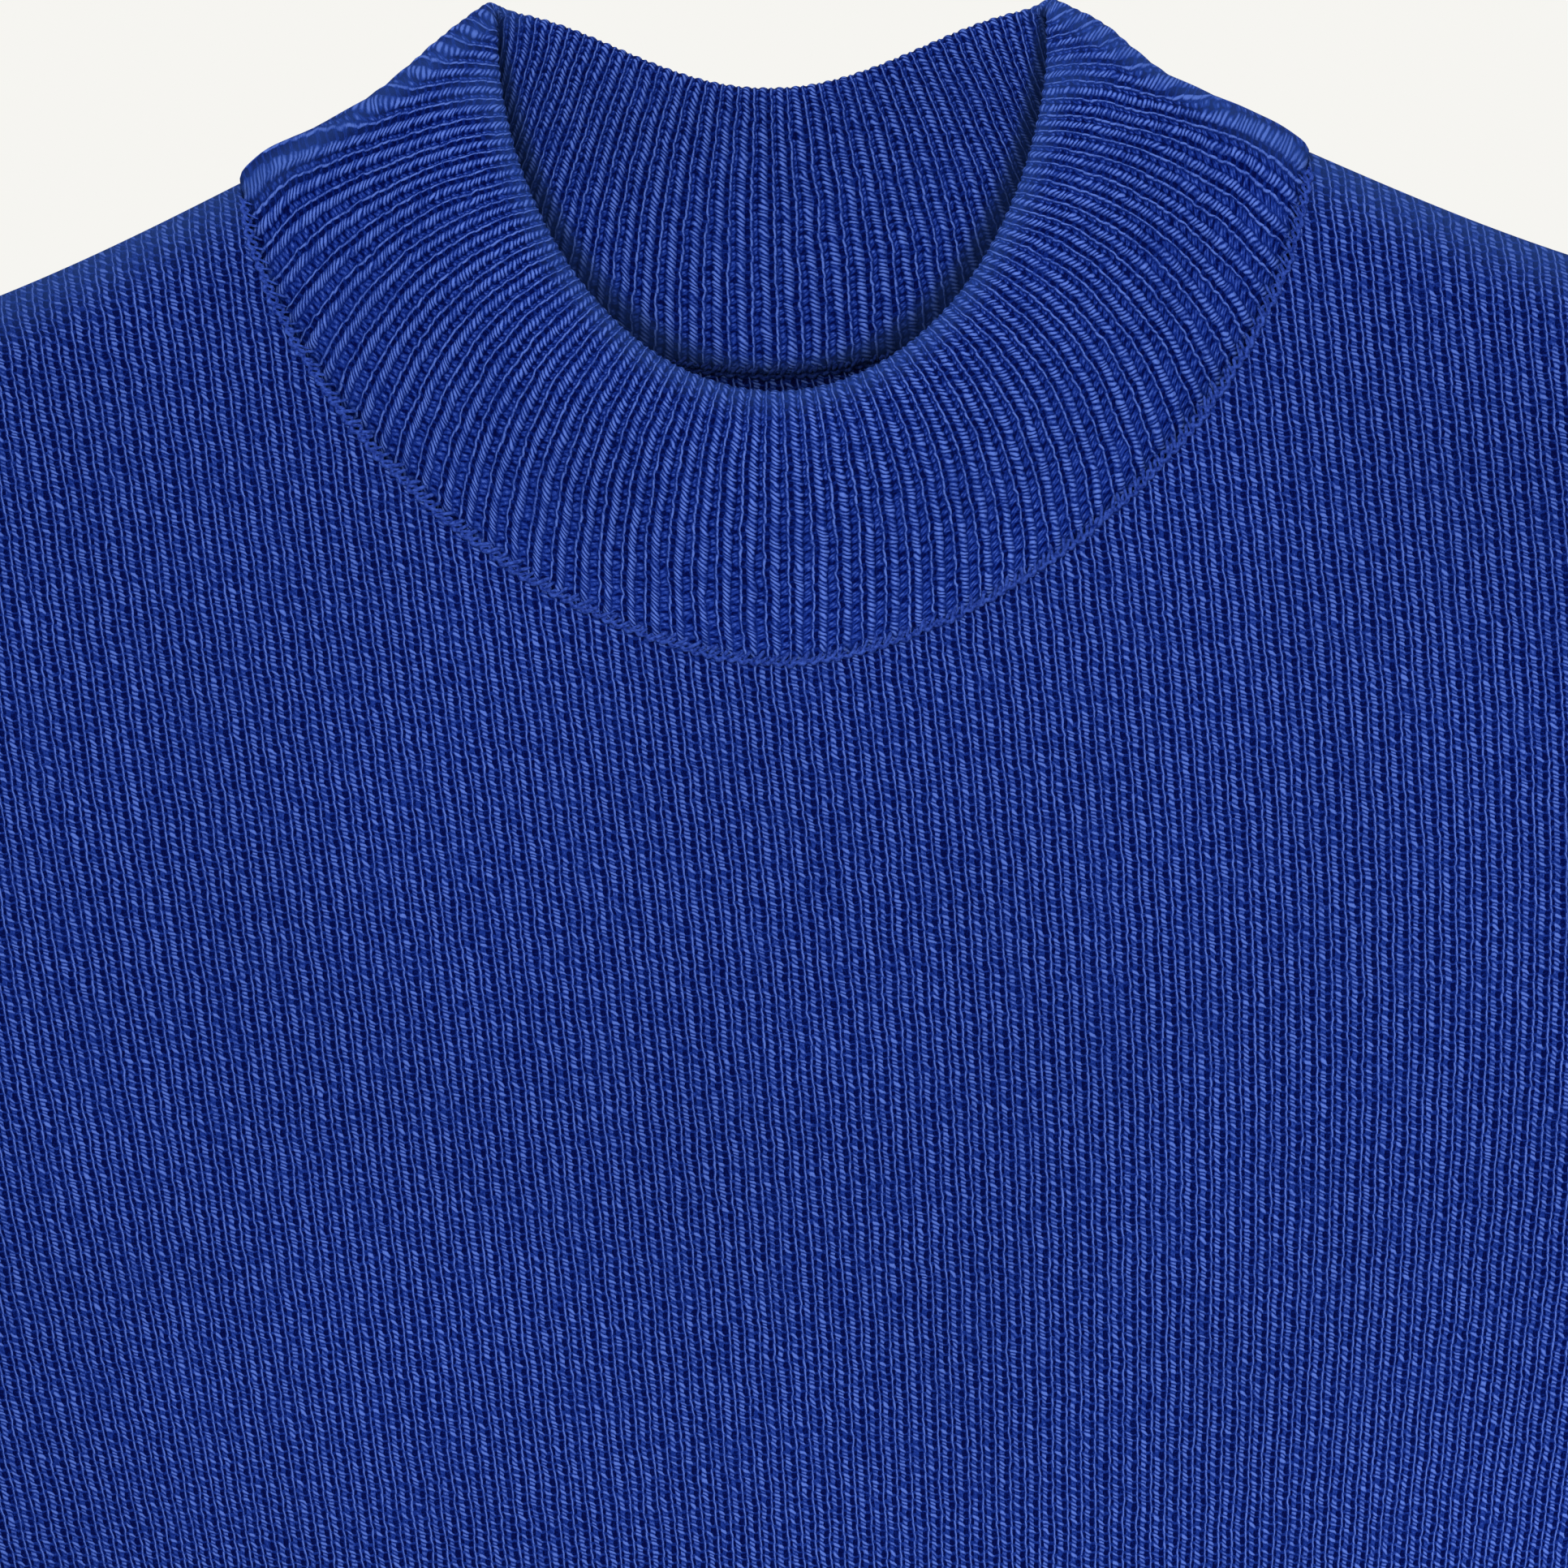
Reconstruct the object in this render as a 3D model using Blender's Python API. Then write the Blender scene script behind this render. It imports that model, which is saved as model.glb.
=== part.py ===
"""A crewneck sweater, laid flat on its back: front over back, sleeves beside the body.

Metres, +Z up. The neck points towards +Y, the hem towards -Y, and the front faces up.
Every outline is drawn with y = 0 at the neck points, where the shoulders meet the neckband.
At the end all pieces move together, so that the origin is the centre of the sweater's base.
"""

import math

import bmesh
import bpy
import numpy as np

MM = 0.001

# Cloth
CLOTH = 2.0 * MM  # one layer of the knit
BAND = 4.0 * MM  # the neckband is knitted double and folded along its rim
SEAM_GAP = 0.3 * MM  # between two pieces at a seam
CHORD_GAP = 0.2 * MM  # added where a curved seam is drawn with long chords
CORNER_GAP = 0.9 * MM  # added at the neck points, where the folded band is at its thickest
LOFT = 2.4 * MM  # air between the front and the back, away from the edges
EDGE_ROLL = 14.0 * MM  # width of the rounded edge at shoulders and sides
HEM_EASE = 70.0 * MM  # the front comes down to the hem rib over this height
RIB_RELIEF = 0.4 * MM  # a rib stands this far above and below the mean surface

# Neckband, from the neck points
NECK_HALF = 105.5 * MM  # neck point to centre line, at the seam
SEAM_DROP = 98.6 * MM  # front seam's lowest point
SEAM_POWER = 1.7  # the front seam is a superellipse, a little pointed
BACK_SEAM_DROP = 41.5 * MM
BACK_SEAM_POWER = 1.8
PEAK_HALF = 55.3 * MM  # where the rim folds from front to back
PEAK_RISE = 31.9 * MM
RIM_DEPTH = 77.7 * MM  # the front rim is the lower half of an ellipse, this deep
BACK_RIM_RISE = 14.7 * MM  # back rim's lowest point
BACK_RIM_POWER = 2.2
BACK_RIM_ROUND = 1.7  # how much the back rim rounds over towards the peaks
FOLD_RADIUS = 2.6 * MM  # of the band's middle surface, where it folds over the shoulder
FOLD_REACH = 14.0 * MM  # the band's edges curve in to the fold over this length
RIM_LIFT = 4.8 * MM  # front rim's centre, above the height of the side folds
SEAM_SINK = 1.8 * MM  # front seam's centre, below the height of the side folds
PEAK_LEAN = 1.3 * MM  # the left peak lies this much higher, and the right one lower
FOLD_WAVE = 1.7 * MM  # the folded edge waves in and out by this much
BAND_RIBS = 100
FRONT_SHARE = 0.54  # share of the ribs that end on the front seam
FRONT_FAN = 0.805  # spacing at the front's centre, as a share of its mean
BAND_ROWS = 9
POINTS_PER_RIB = 2

# Body
SHOULDER_HALF = 200.0 * MM
SHOULDER_DROP = 36.0 * MM
SHOULDER_START = 1.5 * MM  # the shoulder line starts this far below the neck point
SHOULDER_SAG = 2.5 * MM  # and bows down by this much
CHEST_HALF = 250.0 * MM
UNDERARM_DROP = 225.0 * MM
WAIST_HALF = 243.0 * MM  # at the hem rib's seam
BODY_DROP = 525.0 * MM
HEM_HEIGHT = 56.0 * MM
HEM_HALF = 236.0 * MM
HEM_RIBS = 96
BODY_ROWS = 13
BACK_ROWS = 5

# Sleeves
SLEEVE_LENGTH = 470.0 * MM  # shoulder point to the cuff's seam, in a straight line
SLEEVE_ANGLE = 45.0  # degrees between that line and the body's centre line
CAP_ANGLE = 66.0  # where the outer edge leaves the shoulder
WRIST_ANGLE = 37.0  # at the cuff
CAP_PULL = 150.0 * MM  # length of the outer edge's handles
WRIST_PULL = 150.0 * MM
WRIST_WIDTH = 104.0 * MM
CUFF_HEIGHT = 56.0 * MM
CUFF_END_WIDTH = 92.0 * MM
CUFF_LOFT = 0.8 * MM  # air between the cuff's two layers
CUFF_RIBS = 26  # on the upper layer
SLEEVE_ROWS = 12
SLEEVE_COLUMNS = 9

# Largest soft folds of the front, in millimetres from the neck points' line and the centre line.
# A row is a straight valley or ridge, which fades towards both ends.
FOLD_COLUMNS = ("x0", "y0", "x1", "y1", "height", "width")
FRONT_FOLDS = (
    (-128, -150, -8, -300, -1.1, 34),
    (170, -190, 52, -275, -1.1, 34),
    (-168, -110, -120, -330, 1.0, 30),
    (176, -290, 90, -420, 0.9, 36),
    (-190, -330, -60, -430, -0.9, 34),
    (150, -395, 226, -250, 0.7, 26),
)

ROYAL_BLUE = (0.026, 0.068, 0.335, 1.0)


def smoothstep(low, high, value):
    """0 at low, 1 at high, a smooth step between them, and level beyond them."""
    share = np.clip((value - low) / (high - low), 0.0, 1.0)
    return share * share * (3.0 - 2.0 * share)


def knit_material(name):
    """The cobalt-blue wool, as one piece's own material."""
    material = bpy.data.materials.new(name + "_wool")
    material.use_nodes = True
    shader = material.node_tree.nodes["Principled BSDF"]
    shader.inputs["Base Color"].default_value = ROYAL_BLUE
    shader.inputs["Roughness"].default_value = 0.9
    shader.inputs["Metallic"].default_value = 0.0
    shader.inputs["Sheen Weight"].default_value = 0.3
    material.diffuse_color = ROYAL_BLUE
    return material


def add_piece(name, points, faces):
    """One closed piece of cloth, its faces turned outwards and shaded smooth."""
    mesh = bpy.data.meshes.new(name)
    mesh.from_pydata([tuple(p) for p in points], [], faces)
    mesh.materials.append(knit_material(name))
    shell = bmesh.new()
    shell.from_mesh(mesh)
    bmesh.ops.recalc_face_normals(shell, faces=shell.faces)
    shell.to_mesh(mesh)
    shell.free()
    mesh.shade_smooth()
    mesh.set_sharp_from_angle(angle=math.radians(15))
    piece = bpy.data.objects.new(name, mesh)
    bpy.context.scene.collection.objects.link(piece)
    return piece


def grid_faces(columns, rows, start, wrap):
    """Quads of a grid whose points are stored column by column from index start."""
    faces = []
    for i in range(columns if wrap else columns - 1):
        a = start + i * rows
        b = start + (i + 1) % columns * rows
        for j in range(rows - 1):
            faces.append((a + j, b + j, b + j + 1, a + j + 1))
    return faces


def wall_between(upper, lower, wrap=False):
    """Points and faces of the wall between two grids of shape (columns, rows, 3)."""
    columns, rows = upper.shape[:2]
    count = columns * rows
    faces = grid_faces(columns, rows, 0, wrap) + grid_faces(columns, rows, count, wrap)
    for row in (0, rows - 1):
        for i in range(columns if wrap else columns - 1):
            a = i * rows + row
            b = (i + 1) % columns * rows + row
            faces.append((a, b, b + count, a + count))
    if not wrap:
        for column in (0, columns - 1):
            for j in range(rows - 1):
                a = column * rows + j
                faces.append((a, a + 1, a + 1 + count, a + count))
    points = np.concatenate([upper.reshape(-1, 3), lower.reshape(-1, 3)])
    return points, faces


def along(line, distances):
    """Points at these distances along a dense line, and the line's whole length."""
    steps = np.linalg.norm(np.diff(line, axis=0), axis=1)
    travelled = np.concatenate([[0.0], np.cumsum(steps)])
    x = np.interp(distances, travelled, line[:, 0])
    y = np.interp(distances, travelled, line[:, 1])
    return np.stack([x, y], axis=-1), travelled[-1]


def front_seam_y(x):
    """Height of the front neck seam at x."""
    share = np.clip(np.abs(x) / NECK_HALF, 0.0, 1.0)
    return -SEAM_DROP * (1.0 - share**SEAM_POWER) ** (1.0 / SEAM_POWER)


def back_seam_y(x):
    """Height of the back neck seam at x."""
    share = np.clip(np.abs(x) / NECK_HALF, 0.0, 1.0)
    return -BACK_SEAM_DROP * (1.0 - share**BACK_SEAM_POWER)


def front_seam_line(count=400):
    """The right half of the front seam, from the centre to the neck point."""
    turn = np.linspace(0.0, math.pi / 2, count)
    x = NECK_HALF * np.sin(turn) ** (2.0 / SEAM_POWER)
    y = -SEAM_DROP * np.cos(turn) ** (2.0 / SEAM_POWER)
    return np.stack([x, y], axis=-1)


def back_seam_line(count=200):
    """The right half of the back seam, from the neck point to the centre."""
    x = np.linspace(NECK_HALF, 0.0, count)
    return np.stack([x, back_seam_y(x)], axis=-1)


def front_rim_line(count=400):
    """The right half of the front rim, from the centre to the peak."""
    turn = np.linspace(0.0, math.pi / 2, count)
    x = PEAK_HALF * np.sin(turn)
    y = PEAK_RISE - RIM_DEPTH * np.cos(turn)
    return np.stack([x, y], axis=-1)


def back_rim_line(count=200):
    """The right half of the back rim, from the peak to the centre."""
    x = np.linspace(PEAK_HALF, 0.0, count)
    share = x / PEAK_HALF
    rise = share**BACK_RIM_POWER * (1.0 + BACK_RIM_ROUND * (1.0 - share))
    return np.stack([x, BACK_RIM_RISE + (PEAK_RISE - BACK_RIM_RISE) * rise], axis=-1)


# The right side's fold runs from the rim's peak to the neck point, along the band's silhouette.
PEAK = np.array([PEAK_HALF, PEAK_RISE])
NECK_POINT = np.array([NECK_HALF, 0.0])
FOLD_ALONG = NECK_POINT - PEAK
FOLD_LENGTH = np.linalg.norm(FOLD_ALONG)
FOLD_ALONG = FOLD_ALONG / FOLD_LENGTH
FOLD_INWARD = np.array([FOLD_ALONG[1], -FOLD_ALONG[0]])
FOLD_START = PEAK + FOLD_INWARD * BAND / 2


def drawn_in(points, end):
    """A line's points, drawn in near this end, so that the band's middle surface ends on the fold."""
    distance = np.linalg.norm(points - end, axis=1)[:, None]
    return points + FOLD_INWARD * BAND / 2 * np.exp(-((distance / FOLD_REACH) ** 2))


def mirrored_over_fold(points):
    """The back layer's points, opened out over the fold into the front layer's plane."""
    inward = (points - FOLD_START) @ FOLD_INWARD
    return points - 2.0 * inward[..., None] * FOLD_INWARD


def folded(points):
    """Opened-out points turned back over the fold: places, normals and distances from the fold."""
    inward = (points - FOLD_START) @ FOLD_INWARD
    turn = np.clip(inward / FOLD_RADIUS, -1.0, 1.0) * math.pi / 2
    round_part = FOLD_RADIUS * (1.0 - np.cos(turn))
    distance = np.where(np.abs(inward) < FOLD_RADIUS, round_part, np.abs(inward))
    places = points + (distance - inward)[..., None] * FOLD_INWARD
    level = np.sin(turn)
    down = (points - FOLD_START) @ FOLD_ALONG / FOLD_LENGTH
    wave = np.cos(2.0 * math.pi * down) * smoothstep(1.0, 0.85, down)
    wave = FOLD_WAVE * wave * np.exp(-((inward / (5.0 * FOLD_RADIUS)) ** 2))
    places = places - wave[..., None] * FOLD_INWARD
    middle = np.concatenate([places, BAND / 2 + FOLD_RADIUS * (1.0 + level)[..., None]], axis=-1)
    normal = np.concatenate([-np.cos(turn)[..., None] * FOLD_INWARD, level[..., None]], axis=-1)
    return middle, normal, inward


def rib_ends(share):
    """Opened-out seam and rim points of the ribs at these shares, 0 front centre to 1 back centre."""
    front_seam = drawn_in(front_seam_line(), NECK_POINT)
    back_seam = drawn_in(back_seam_line(), NECK_POINT)
    front_rim = drawn_in(front_rim_line(), PEAK)
    back_rim = drawn_in(back_rim_line(), PEAK)
    front_length = along(front_seam, 0.0)[1]
    back_length = along(back_seam, 0.0)[1]
    part = np.clip(share / FRONT_SHARE, 0.0, 1.0)
    fan = FRONT_FAN * part + (1.0 - FRONT_FAN) * part**2
    on_front = along(front_seam, fan * front_length)[0]
    rest = np.clip((share - FRONT_SHARE) / (1.0 - FRONT_SHARE), 0.0, 1.0)
    on_back = mirrored_over_fold(along(back_seam, rest * back_length)[0])
    seam = np.where((share <= FRONT_SHARE)[:, None], on_front, on_back)
    front_length = along(front_rim, 0.0)[1]
    back_length = along(back_rim, 0.0)[1]
    travelled = share * (front_length + back_length)
    on_front = along(front_rim, travelled)[0]
    on_back = mirrored_over_fold(along(back_rim, travelled - front_length)[0])
    rim = np.where((travelled <= front_length)[:, None], on_front, on_back)
    return seam, rim


def rib_path(seam, bend, rim, height):
    """Opened-out points of the ribs at these heights, from 0 at the seam to 1 at the rim."""
    height = height[..., None]
    low = (1.0 - height) ** 2 * seam[:, None]
    return low + 2.0 * height * (1.0 - height) * bend[:, None] + height**2 * rim[:, None]


def rib_heights(seam, bend, rim, rows):
    """Heights of each rib's points, which close up where the rib turns over the fold."""
    dense = np.linspace(0.0, 1.0, 201)
    path = rib_path(seam, bend, rim, np.broadcast_to(dense, (len(seam), len(dense))))
    inward = (path - FOLD_START) @ FOLD_INWARD
    density = 1.0 + 4.0 * np.exp(-((inward / (1.5 * FOLD_RADIUS)) ** 2))
    steps = (density[:, 1:] + density[:, :-1]) / 2
    travelled = np.concatenate([np.zeros((len(seam), 1)), np.cumsum(steps, axis=1)], axis=1)
    shares = np.linspace(0.0, 1.0, rows)
    return np.array([np.interp(shares * line[-1], line, dense) for line in travelled])


def band_middle(share, rows):
    """Middle surface of the band's right half, and its normals, for ribs at these shares."""
    seam, rim = rib_ends(share)
    nearby = 1e-3
    ahead = rib_ends(np.clip(share + nearby, 0.0, 1.0))[1]
    behind = rib_ends(np.clip(share - nearby, 0.0, 1.0))[1]
    along_rim = ahead - behind
    along_rim = along_rim / np.linalg.norm(along_rim, axis=1)[:, None]
    outward = np.stack([along_rim[:, 1], -along_rim[:, 0]], axis=-1)
    chord = np.linalg.norm(seam - rim, axis=1)[:, None]
    bend = rim + outward * chord / 2
    height = rib_heights(seam, bend, rim, rows)
    middle, normal, inward = folded(rib_path(seam, bend, rim, height))
    centre = 1.0 - smoothstep(0.25, 0.5, share)[:, None]
    rim_lift = RIM_LIFT * (1.0 - smoothstep(0.35, 0.66, share))[:, None]
    rise = smoothstep(0.0, 0.9, height)
    lift = rim_lift * rise - SEAM_SINK * centre * (1.0 - rise)
    middle[..., 2] += lift * smoothstep(FOLD_RADIUS, 9.0 * FOLD_RADIUS, inward)
    return middle, normal


def neckband():
    """A closed band of ribs, folded flat over both shoulders, its rim standing up in front."""
    half = BAND_RIBS * POINTS_PER_RIB // 2
    right, right_normal = band_middle(np.linspace(0.0, 1.0, half + 1), BAND_ROWS)
    mirror = np.array([-1.0, 1.0, 1.0])
    middle = np.concatenate([right, right[1:-1][::-1] * mirror])
    normal = np.concatenate([right_normal, right_normal[1:-1][::-1] * mirror])
    lean = smoothstep(0.0, PEAK_RISE, middle[..., 1]) * middle[..., 0] / PEAK_HALF
    middle[..., 1] -= PEAK_LEAN * lean
    crest = np.where(np.arange(len(middle)) % POINTS_PER_RIB == 0, 0.0, -2.0 * RIB_RELIEF)
    offset = normal * (BAND / 2 + crest)[:, None, None]
    outer, inner = middle + offset, middle - offset
    # The side that rests on the surface is flat.
    outer[..., 2] = np.where(normal[..., 2] < -0.7, 0.0, outer[..., 2])
    points, faces = wall_between(outer, inner, wrap=True)
    return add_piece("neckband", points, faces)


def shoulder_y(x):
    """Height of the shoulder line at x, between the neck point and the shoulder point."""
    share = np.clip((np.abs(x) - NECK_HALF) / (SHOULDER_HALF - NECK_HALF), 0.0, 1.0)
    sag = SHOULDER_SAG * np.sin(math.pi * share)
    return -SHOULDER_START - (SHOULDER_DROP - SHOULDER_START) * share - sag


def curve(start, start_pull, end_pull, end, count):
    """Points on a smooth curve, which leaves and reaches its ends along the two pulls."""
    share = np.linspace(0.0, 1.0, count)[:, None]
    return (
        (1 - share) ** 3 * start
        + 3 * share * (1 - share) ** 2 * (start + start_pull)
        + 3 * share**2 * (1 - share) * (end + end_pull)
        + share**3 * end
    )


def direction(degrees):
    """Unit vector at this angle from straight down, turned outwards."""
    angle = math.radians(degrees)
    return np.array([math.sin(angle), -math.cos(angle)])


def armhole_line(count):
    """The right armhole seam, from the shoulder point to the underarm."""
    start = np.array([SHOULDER_HALF, -SHOULDER_DROP])
    end = np.array([CHEST_HALF, -UNDERARM_DROP])
    start_pull = np.array([1.0, -75.0]) * MM
    end_pull = np.array([-26.0, 66.0]) * MM
    return curve(start, start_pull, end_pull, end, count)


def edge_distance(x, y):
    """Distance from the nearest shoulder line or side seam, inside the body."""
    slope = math.atan2(SHOULDER_DROP, SHOULDER_HALF - NECK_HALF)
    from_shoulder = (shoulder_y(x) - y) * math.cos(slope)
    down = np.clip((-y - UNDERARM_DROP) / (BODY_DROP - UNDERARM_DROP), 0.0, 1.0)
    side = CHEST_HALF + (WAIST_HALF - CHEST_HALF) * down
    return np.maximum(np.minimum(from_shoulder, side - np.abs(x)), 0.0)


def fold_relief(x, y):
    """Height that the soft folds of the front add at x, y."""
    relief = np.zeros_like(x)
    for values in FRONT_FOLDS:
        fold = dict(zip(FOLD_COLUMNS, values))
        start = np.array([fold["x0"], fold["y0"]]) * MM
        run = np.array([fold["x1"], fold["y1"]]) * MM - start
        length = np.linalg.norm(run)
        run = run / length
        share = ((x - start[0]) * run[0] + (y - start[1]) * run[1]) / length
        across = (x - start[0]) * run[1] - (y - start[1]) * run[0]
        fade = smoothstep(-0.15, 0.3, share) * (1.0 - smoothstep(0.7, 1.15, share))
        width = fold["width"] * MM
        relief = relief + fold["height"] * MM * fade * np.exp(-((across / width) ** 2))
    return relief


def front_height(x, y):
    """Upper surface of the front panel at x, y."""
    neck = (np.abs(x) / NECK_HALF) ** SEAM_POWER + (np.maximum(-y, 0.0) / SEAM_DROP) ** SEAM_POWER
    neck = (neck ** (1.0 / SEAM_POWER) - 1.0) * NECK_HALF
    flat = 2.0 * CLOTH + SEAM_GAP
    # The seam lies in a shallow valley, level with the band's own lower edge.
    side = smoothstep(0.3, 0.9, np.abs(x) / NECK_HALF)
    near_seam = (0.5 + 1.1 * side) * MM * np.exp(-((neck / (38.0 * MM)) ** 2))
    valley = 0.7 * MM * np.exp(-((neck / (9.0 * MM)) ** 2))
    rolled = np.clip(edge_distance(x, y) / EDGE_ROLL, 0.0, 1.0)
    rolled = np.sqrt(1.0 - (1.0 - rolled) ** 2)
    rolled = rolled * smoothstep(-BODY_DROP, -BODY_DROP + HEM_EASE, y)
    return flat + rolled * (LOFT + near_seam - valley + fold_relief(x, y))


def body_top_line(seam_y, gap):
    """Upper edge of a body panel, its right half: neck seam, shoulder, armhole."""
    ribs = np.arange(0.0, FRONT_SHARE, 2.0 * 2.0 / BAND_RIBS)
    part = ribs / FRONT_SHARE
    fan = FRONT_FAN * part + (1.0 - FRONT_FAN) * part**2
    line = front_seam_line()
    x = along(line, fan * along(line, 0.0)[1])[0][:, 0]
    nearby = 0.2 * MM
    slope = (seam_y(x + nearby) - seam_y(x - nearby)) / (2.0 * nearby)
    steepest = 4.0
    slope = np.where(x + nearby > NECK_HALF, steepest, slope)
    down = np.stack([slope, -np.ones_like(slope)], axis=-1)
    down[0] = (0.0, -1.0)
    down = down / np.linalg.norm(down, axis=1)[:, None]
    corner = CORNER_GAP * smoothstep(0.85, 0.97, x / NECK_HALF)
    neck = np.stack([x, seam_y(x)], axis=-1) + down * (gap + corner)[:, None]
    shoulder_x = np.linspace(neck[-1, 0], SHOULDER_HALF, 6)[1:]
    shoulder = np.stack([shoulder_x, shoulder_y(shoulder_x)], axis=-1)
    armhole = armhole_line(9)[1:]
    return np.concatenate([neck, shoulder, armhole])


def body_columns(seam_y, gap, rows):
    """Grid of x, y places of a body panel, from the hem's seam to its upper edge."""
    top = body_top_line(seam_y, gap)
    top = np.concatenate([top[1:][::-1] * np.array([-1.0, 1.0]), top])
    spread = top[:, 0] / CHEST_HALF
    bottom = np.stack([spread * WAIST_HALF, np.full(len(top), -BODY_DROP)], axis=-1)
    share = np.linspace(0.0, 1.0, rows)[None, :, None] ** 0.85
    return bottom[:, None] * (1.0 - share) + top[:, None] * share


def front_panel():
    """The front, over the back, with its soft folds."""
    places = body_columns(front_seam_y, SEAM_GAP + CHORD_GAP, BODY_ROWS)
    z = front_height(places[..., 0], places[..., 1])
    upper = np.concatenate([places, z[..., None]], axis=-1)
    lower = upper - np.array([0.0, 0.0, CLOTH])
    points, faces = wall_between(upper, lower)
    return add_piece("front_panel", points, faces)


def back_panel():
    """The back, flat on the surface that the sweater lies on."""
    places = body_columns(back_seam_y, SEAM_GAP + CHORD_GAP, BACK_ROWS)
    floor = np.zeros(places.shape[:2] + (1,))
    lower = np.concatenate([places, floor], axis=-1)
    upper = lower + np.array([0.0, 0.0, CLOTH])
    points, faces = wall_between(upper, lower)
    return add_piece("back_panel", points, faces)


def ribbed_slab(name, corners, ribs, relief, bottom):
    """A slab between four corners, left to right at its seam and at its edge, with ribs on top."""
    seam_left, seam_right, edge_left, edge_right = (np.array(c) for c in corners)
    count = 2 * ribs + 1
    share = np.linspace(0.0, 1.0, count)[:, None]
    crest = np.where(np.arange(count) % 2 == 1, relief, -relief)
    heights = (bottom + CLOTH + crest)[:, None]
    seam = np.hstack([seam_left * (1 - share) + seam_right * share, heights])
    edge = np.hstack([edge_left * (1 - share) + edge_right * share, heights])
    base = [(*c, bottom) for c in (seam_left, seam_right, edge_left, edge_right)]
    points = [tuple(p) for p in np.concatenate([seam, edge])] + base
    low = 2 * count
    faces = [(i, i + 1, count + i + 1, count + i) for i in range(count - 1)]
    faces.append(tuple(range(count)) + (low + 1, low))
    faces.append(tuple(range(count, 2 * count)) + (low + 3, low + 2))
    faces.append((low, low + 1, low + 3, low + 2))
    faces.append((0, count, low + 2, low))
    faces.append((count - 1, 2 * count - 1, low + 3, low + 1))
    return add_piece(name, points, faces)


def hem_ribs():
    """The hem's ribs, on the front and on the back."""
    seam_y = -BODY_DROP - SEAM_GAP
    corners = (
        (-WAIST_HALF, seam_y),
        (WAIST_HALF, seam_y),
        (-HEM_HALF, -BODY_DROP - HEM_HEIGHT),
        (HEM_HALF, -BODY_DROP - HEM_HEIGHT),
    )
    ribbed_slab("hem_front", corners, HEM_RIBS, RIB_RELIEF, CLOTH + SEAM_GAP)
    # The back's ribs are on the side that rests flat, so they are left plain.
    ribbed_slab("hem_back", corners, 1, 0.0, 0.0)


def sleeve_end():
    """Outer and inner ends of the right cuff's seam, and the directions along and across it."""
    down = direction(WRIST_ANGLE)
    across = np.array([down[1], -down[0]])
    outer = np.array([SHOULDER_HALF, -SHOULDER_DROP]) + direction(SLEEVE_ANGLE) * SLEEVE_LENGTH
    return outer, outer + across * WRIST_WIDTH, down, across


def tube_section(count, edge):
    """Shares across and heights of a flattened tube: its outer and inner loops, as seen in section.

    The upper layer runs from the outer fold to the inner one and the lower layer runs back.
    Edge is the rounded edge's width, as a share of the tube's width.
    """
    across = (1.0 - np.cos(np.linspace(0.0, math.pi, count))) / 2
    loft = np.sqrt(1.0 - (1.0 - np.clip(np.minimum(across, 1.0 - across) / edge, 0.0, 1.0)) ** 2)
    air = SEAM_GAP + LOFT * loft
    upper = np.stack([across, 2.0 * CLOTH + air], axis=-1)
    lower = np.stack([across[::-1], np.zeros(count)], axis=-1)
    outer = np.concatenate([upper, lower])
    inner = np.concatenate([
        np.stack([across, CLOTH + air], axis=-1),
        np.stack([across[::-1], np.full(count, CLOTH)], axis=-1),
    ])
    return outer, inner


def sleeve_places(part):
    """Places on the flat sleeve: columns at these shares from the outer to the inner edge."""
    wrist_outer, wrist_inner, down, _ = sleeve_end()
    armhole = armhole_line(200)
    cap = along(armhole, part * along(armhole, 0.0)[1])[0]
    top, underarm = armhole[0], armhole[-1]
    cap_pull = direction(CAP_ANGLE) * CAP_PULL
    outer_edge = curve(top, cap_pull, -down * WRIST_PULL, wrist_outer, SLEEVE_ROWS)
    inner_run = wrist_inner - underarm
    inner_edge = curve(underarm, inner_run / 3, -down * WRIST_PULL / 2, wrist_inner, SLEEVE_ROWS)
    part = part[:, None, None]
    chord = top * (1 - part[:, 0]) + underarm * part[:, 0]
    hollow = (cap - chord)[:, None] * (1.0 - np.linspace(0.0, 1.0, SLEEVE_ROWS)[:, None]) ** 2
    return outer_edge * (1 - part) + inner_edge * part + hollow


def sleeve(side):
    """A sleeve: a flattened tube from the armhole seam to the cuff's seam."""
    section_outer, section_inner = tube_section(SLEEVE_COLUMNS, 0.16)
    gap = (SEAM_GAP + CHORD_GAP) * np.array([1.0, 0.35])
    grids = []
    for section, margin in ((section_outer, 0.0), (section_inner, CLOTH)):
        places = sleeve_places(section[:, 0]) + gap * np.linspace(1.0, 0.0, SLEEVE_ROWS)[:, None]
        first, last = places[0], places[SLEEVE_COLUMNS - 1]
        width = np.linalg.norm(first - last, axis=-1)
        middle = (first + last) / 2
        places = middle + (places - middle) * (1.0 - 2.0 * margin / width)[:, None]
        z = np.broadcast_to(section[:, 1][:, None], places.shape[:2])
        grids.append(np.concatenate([places, z[..., None]], axis=-1))
    outer, inner = (grid * np.array([side, 1.0, 1.0]) for grid in grids)
    points, faces = wall_between(outer, inner, wrap=True)
    name = "sleeve_right" if side > 0 else "sleeve_left"
    return add_piece(name, points, faces)


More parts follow.
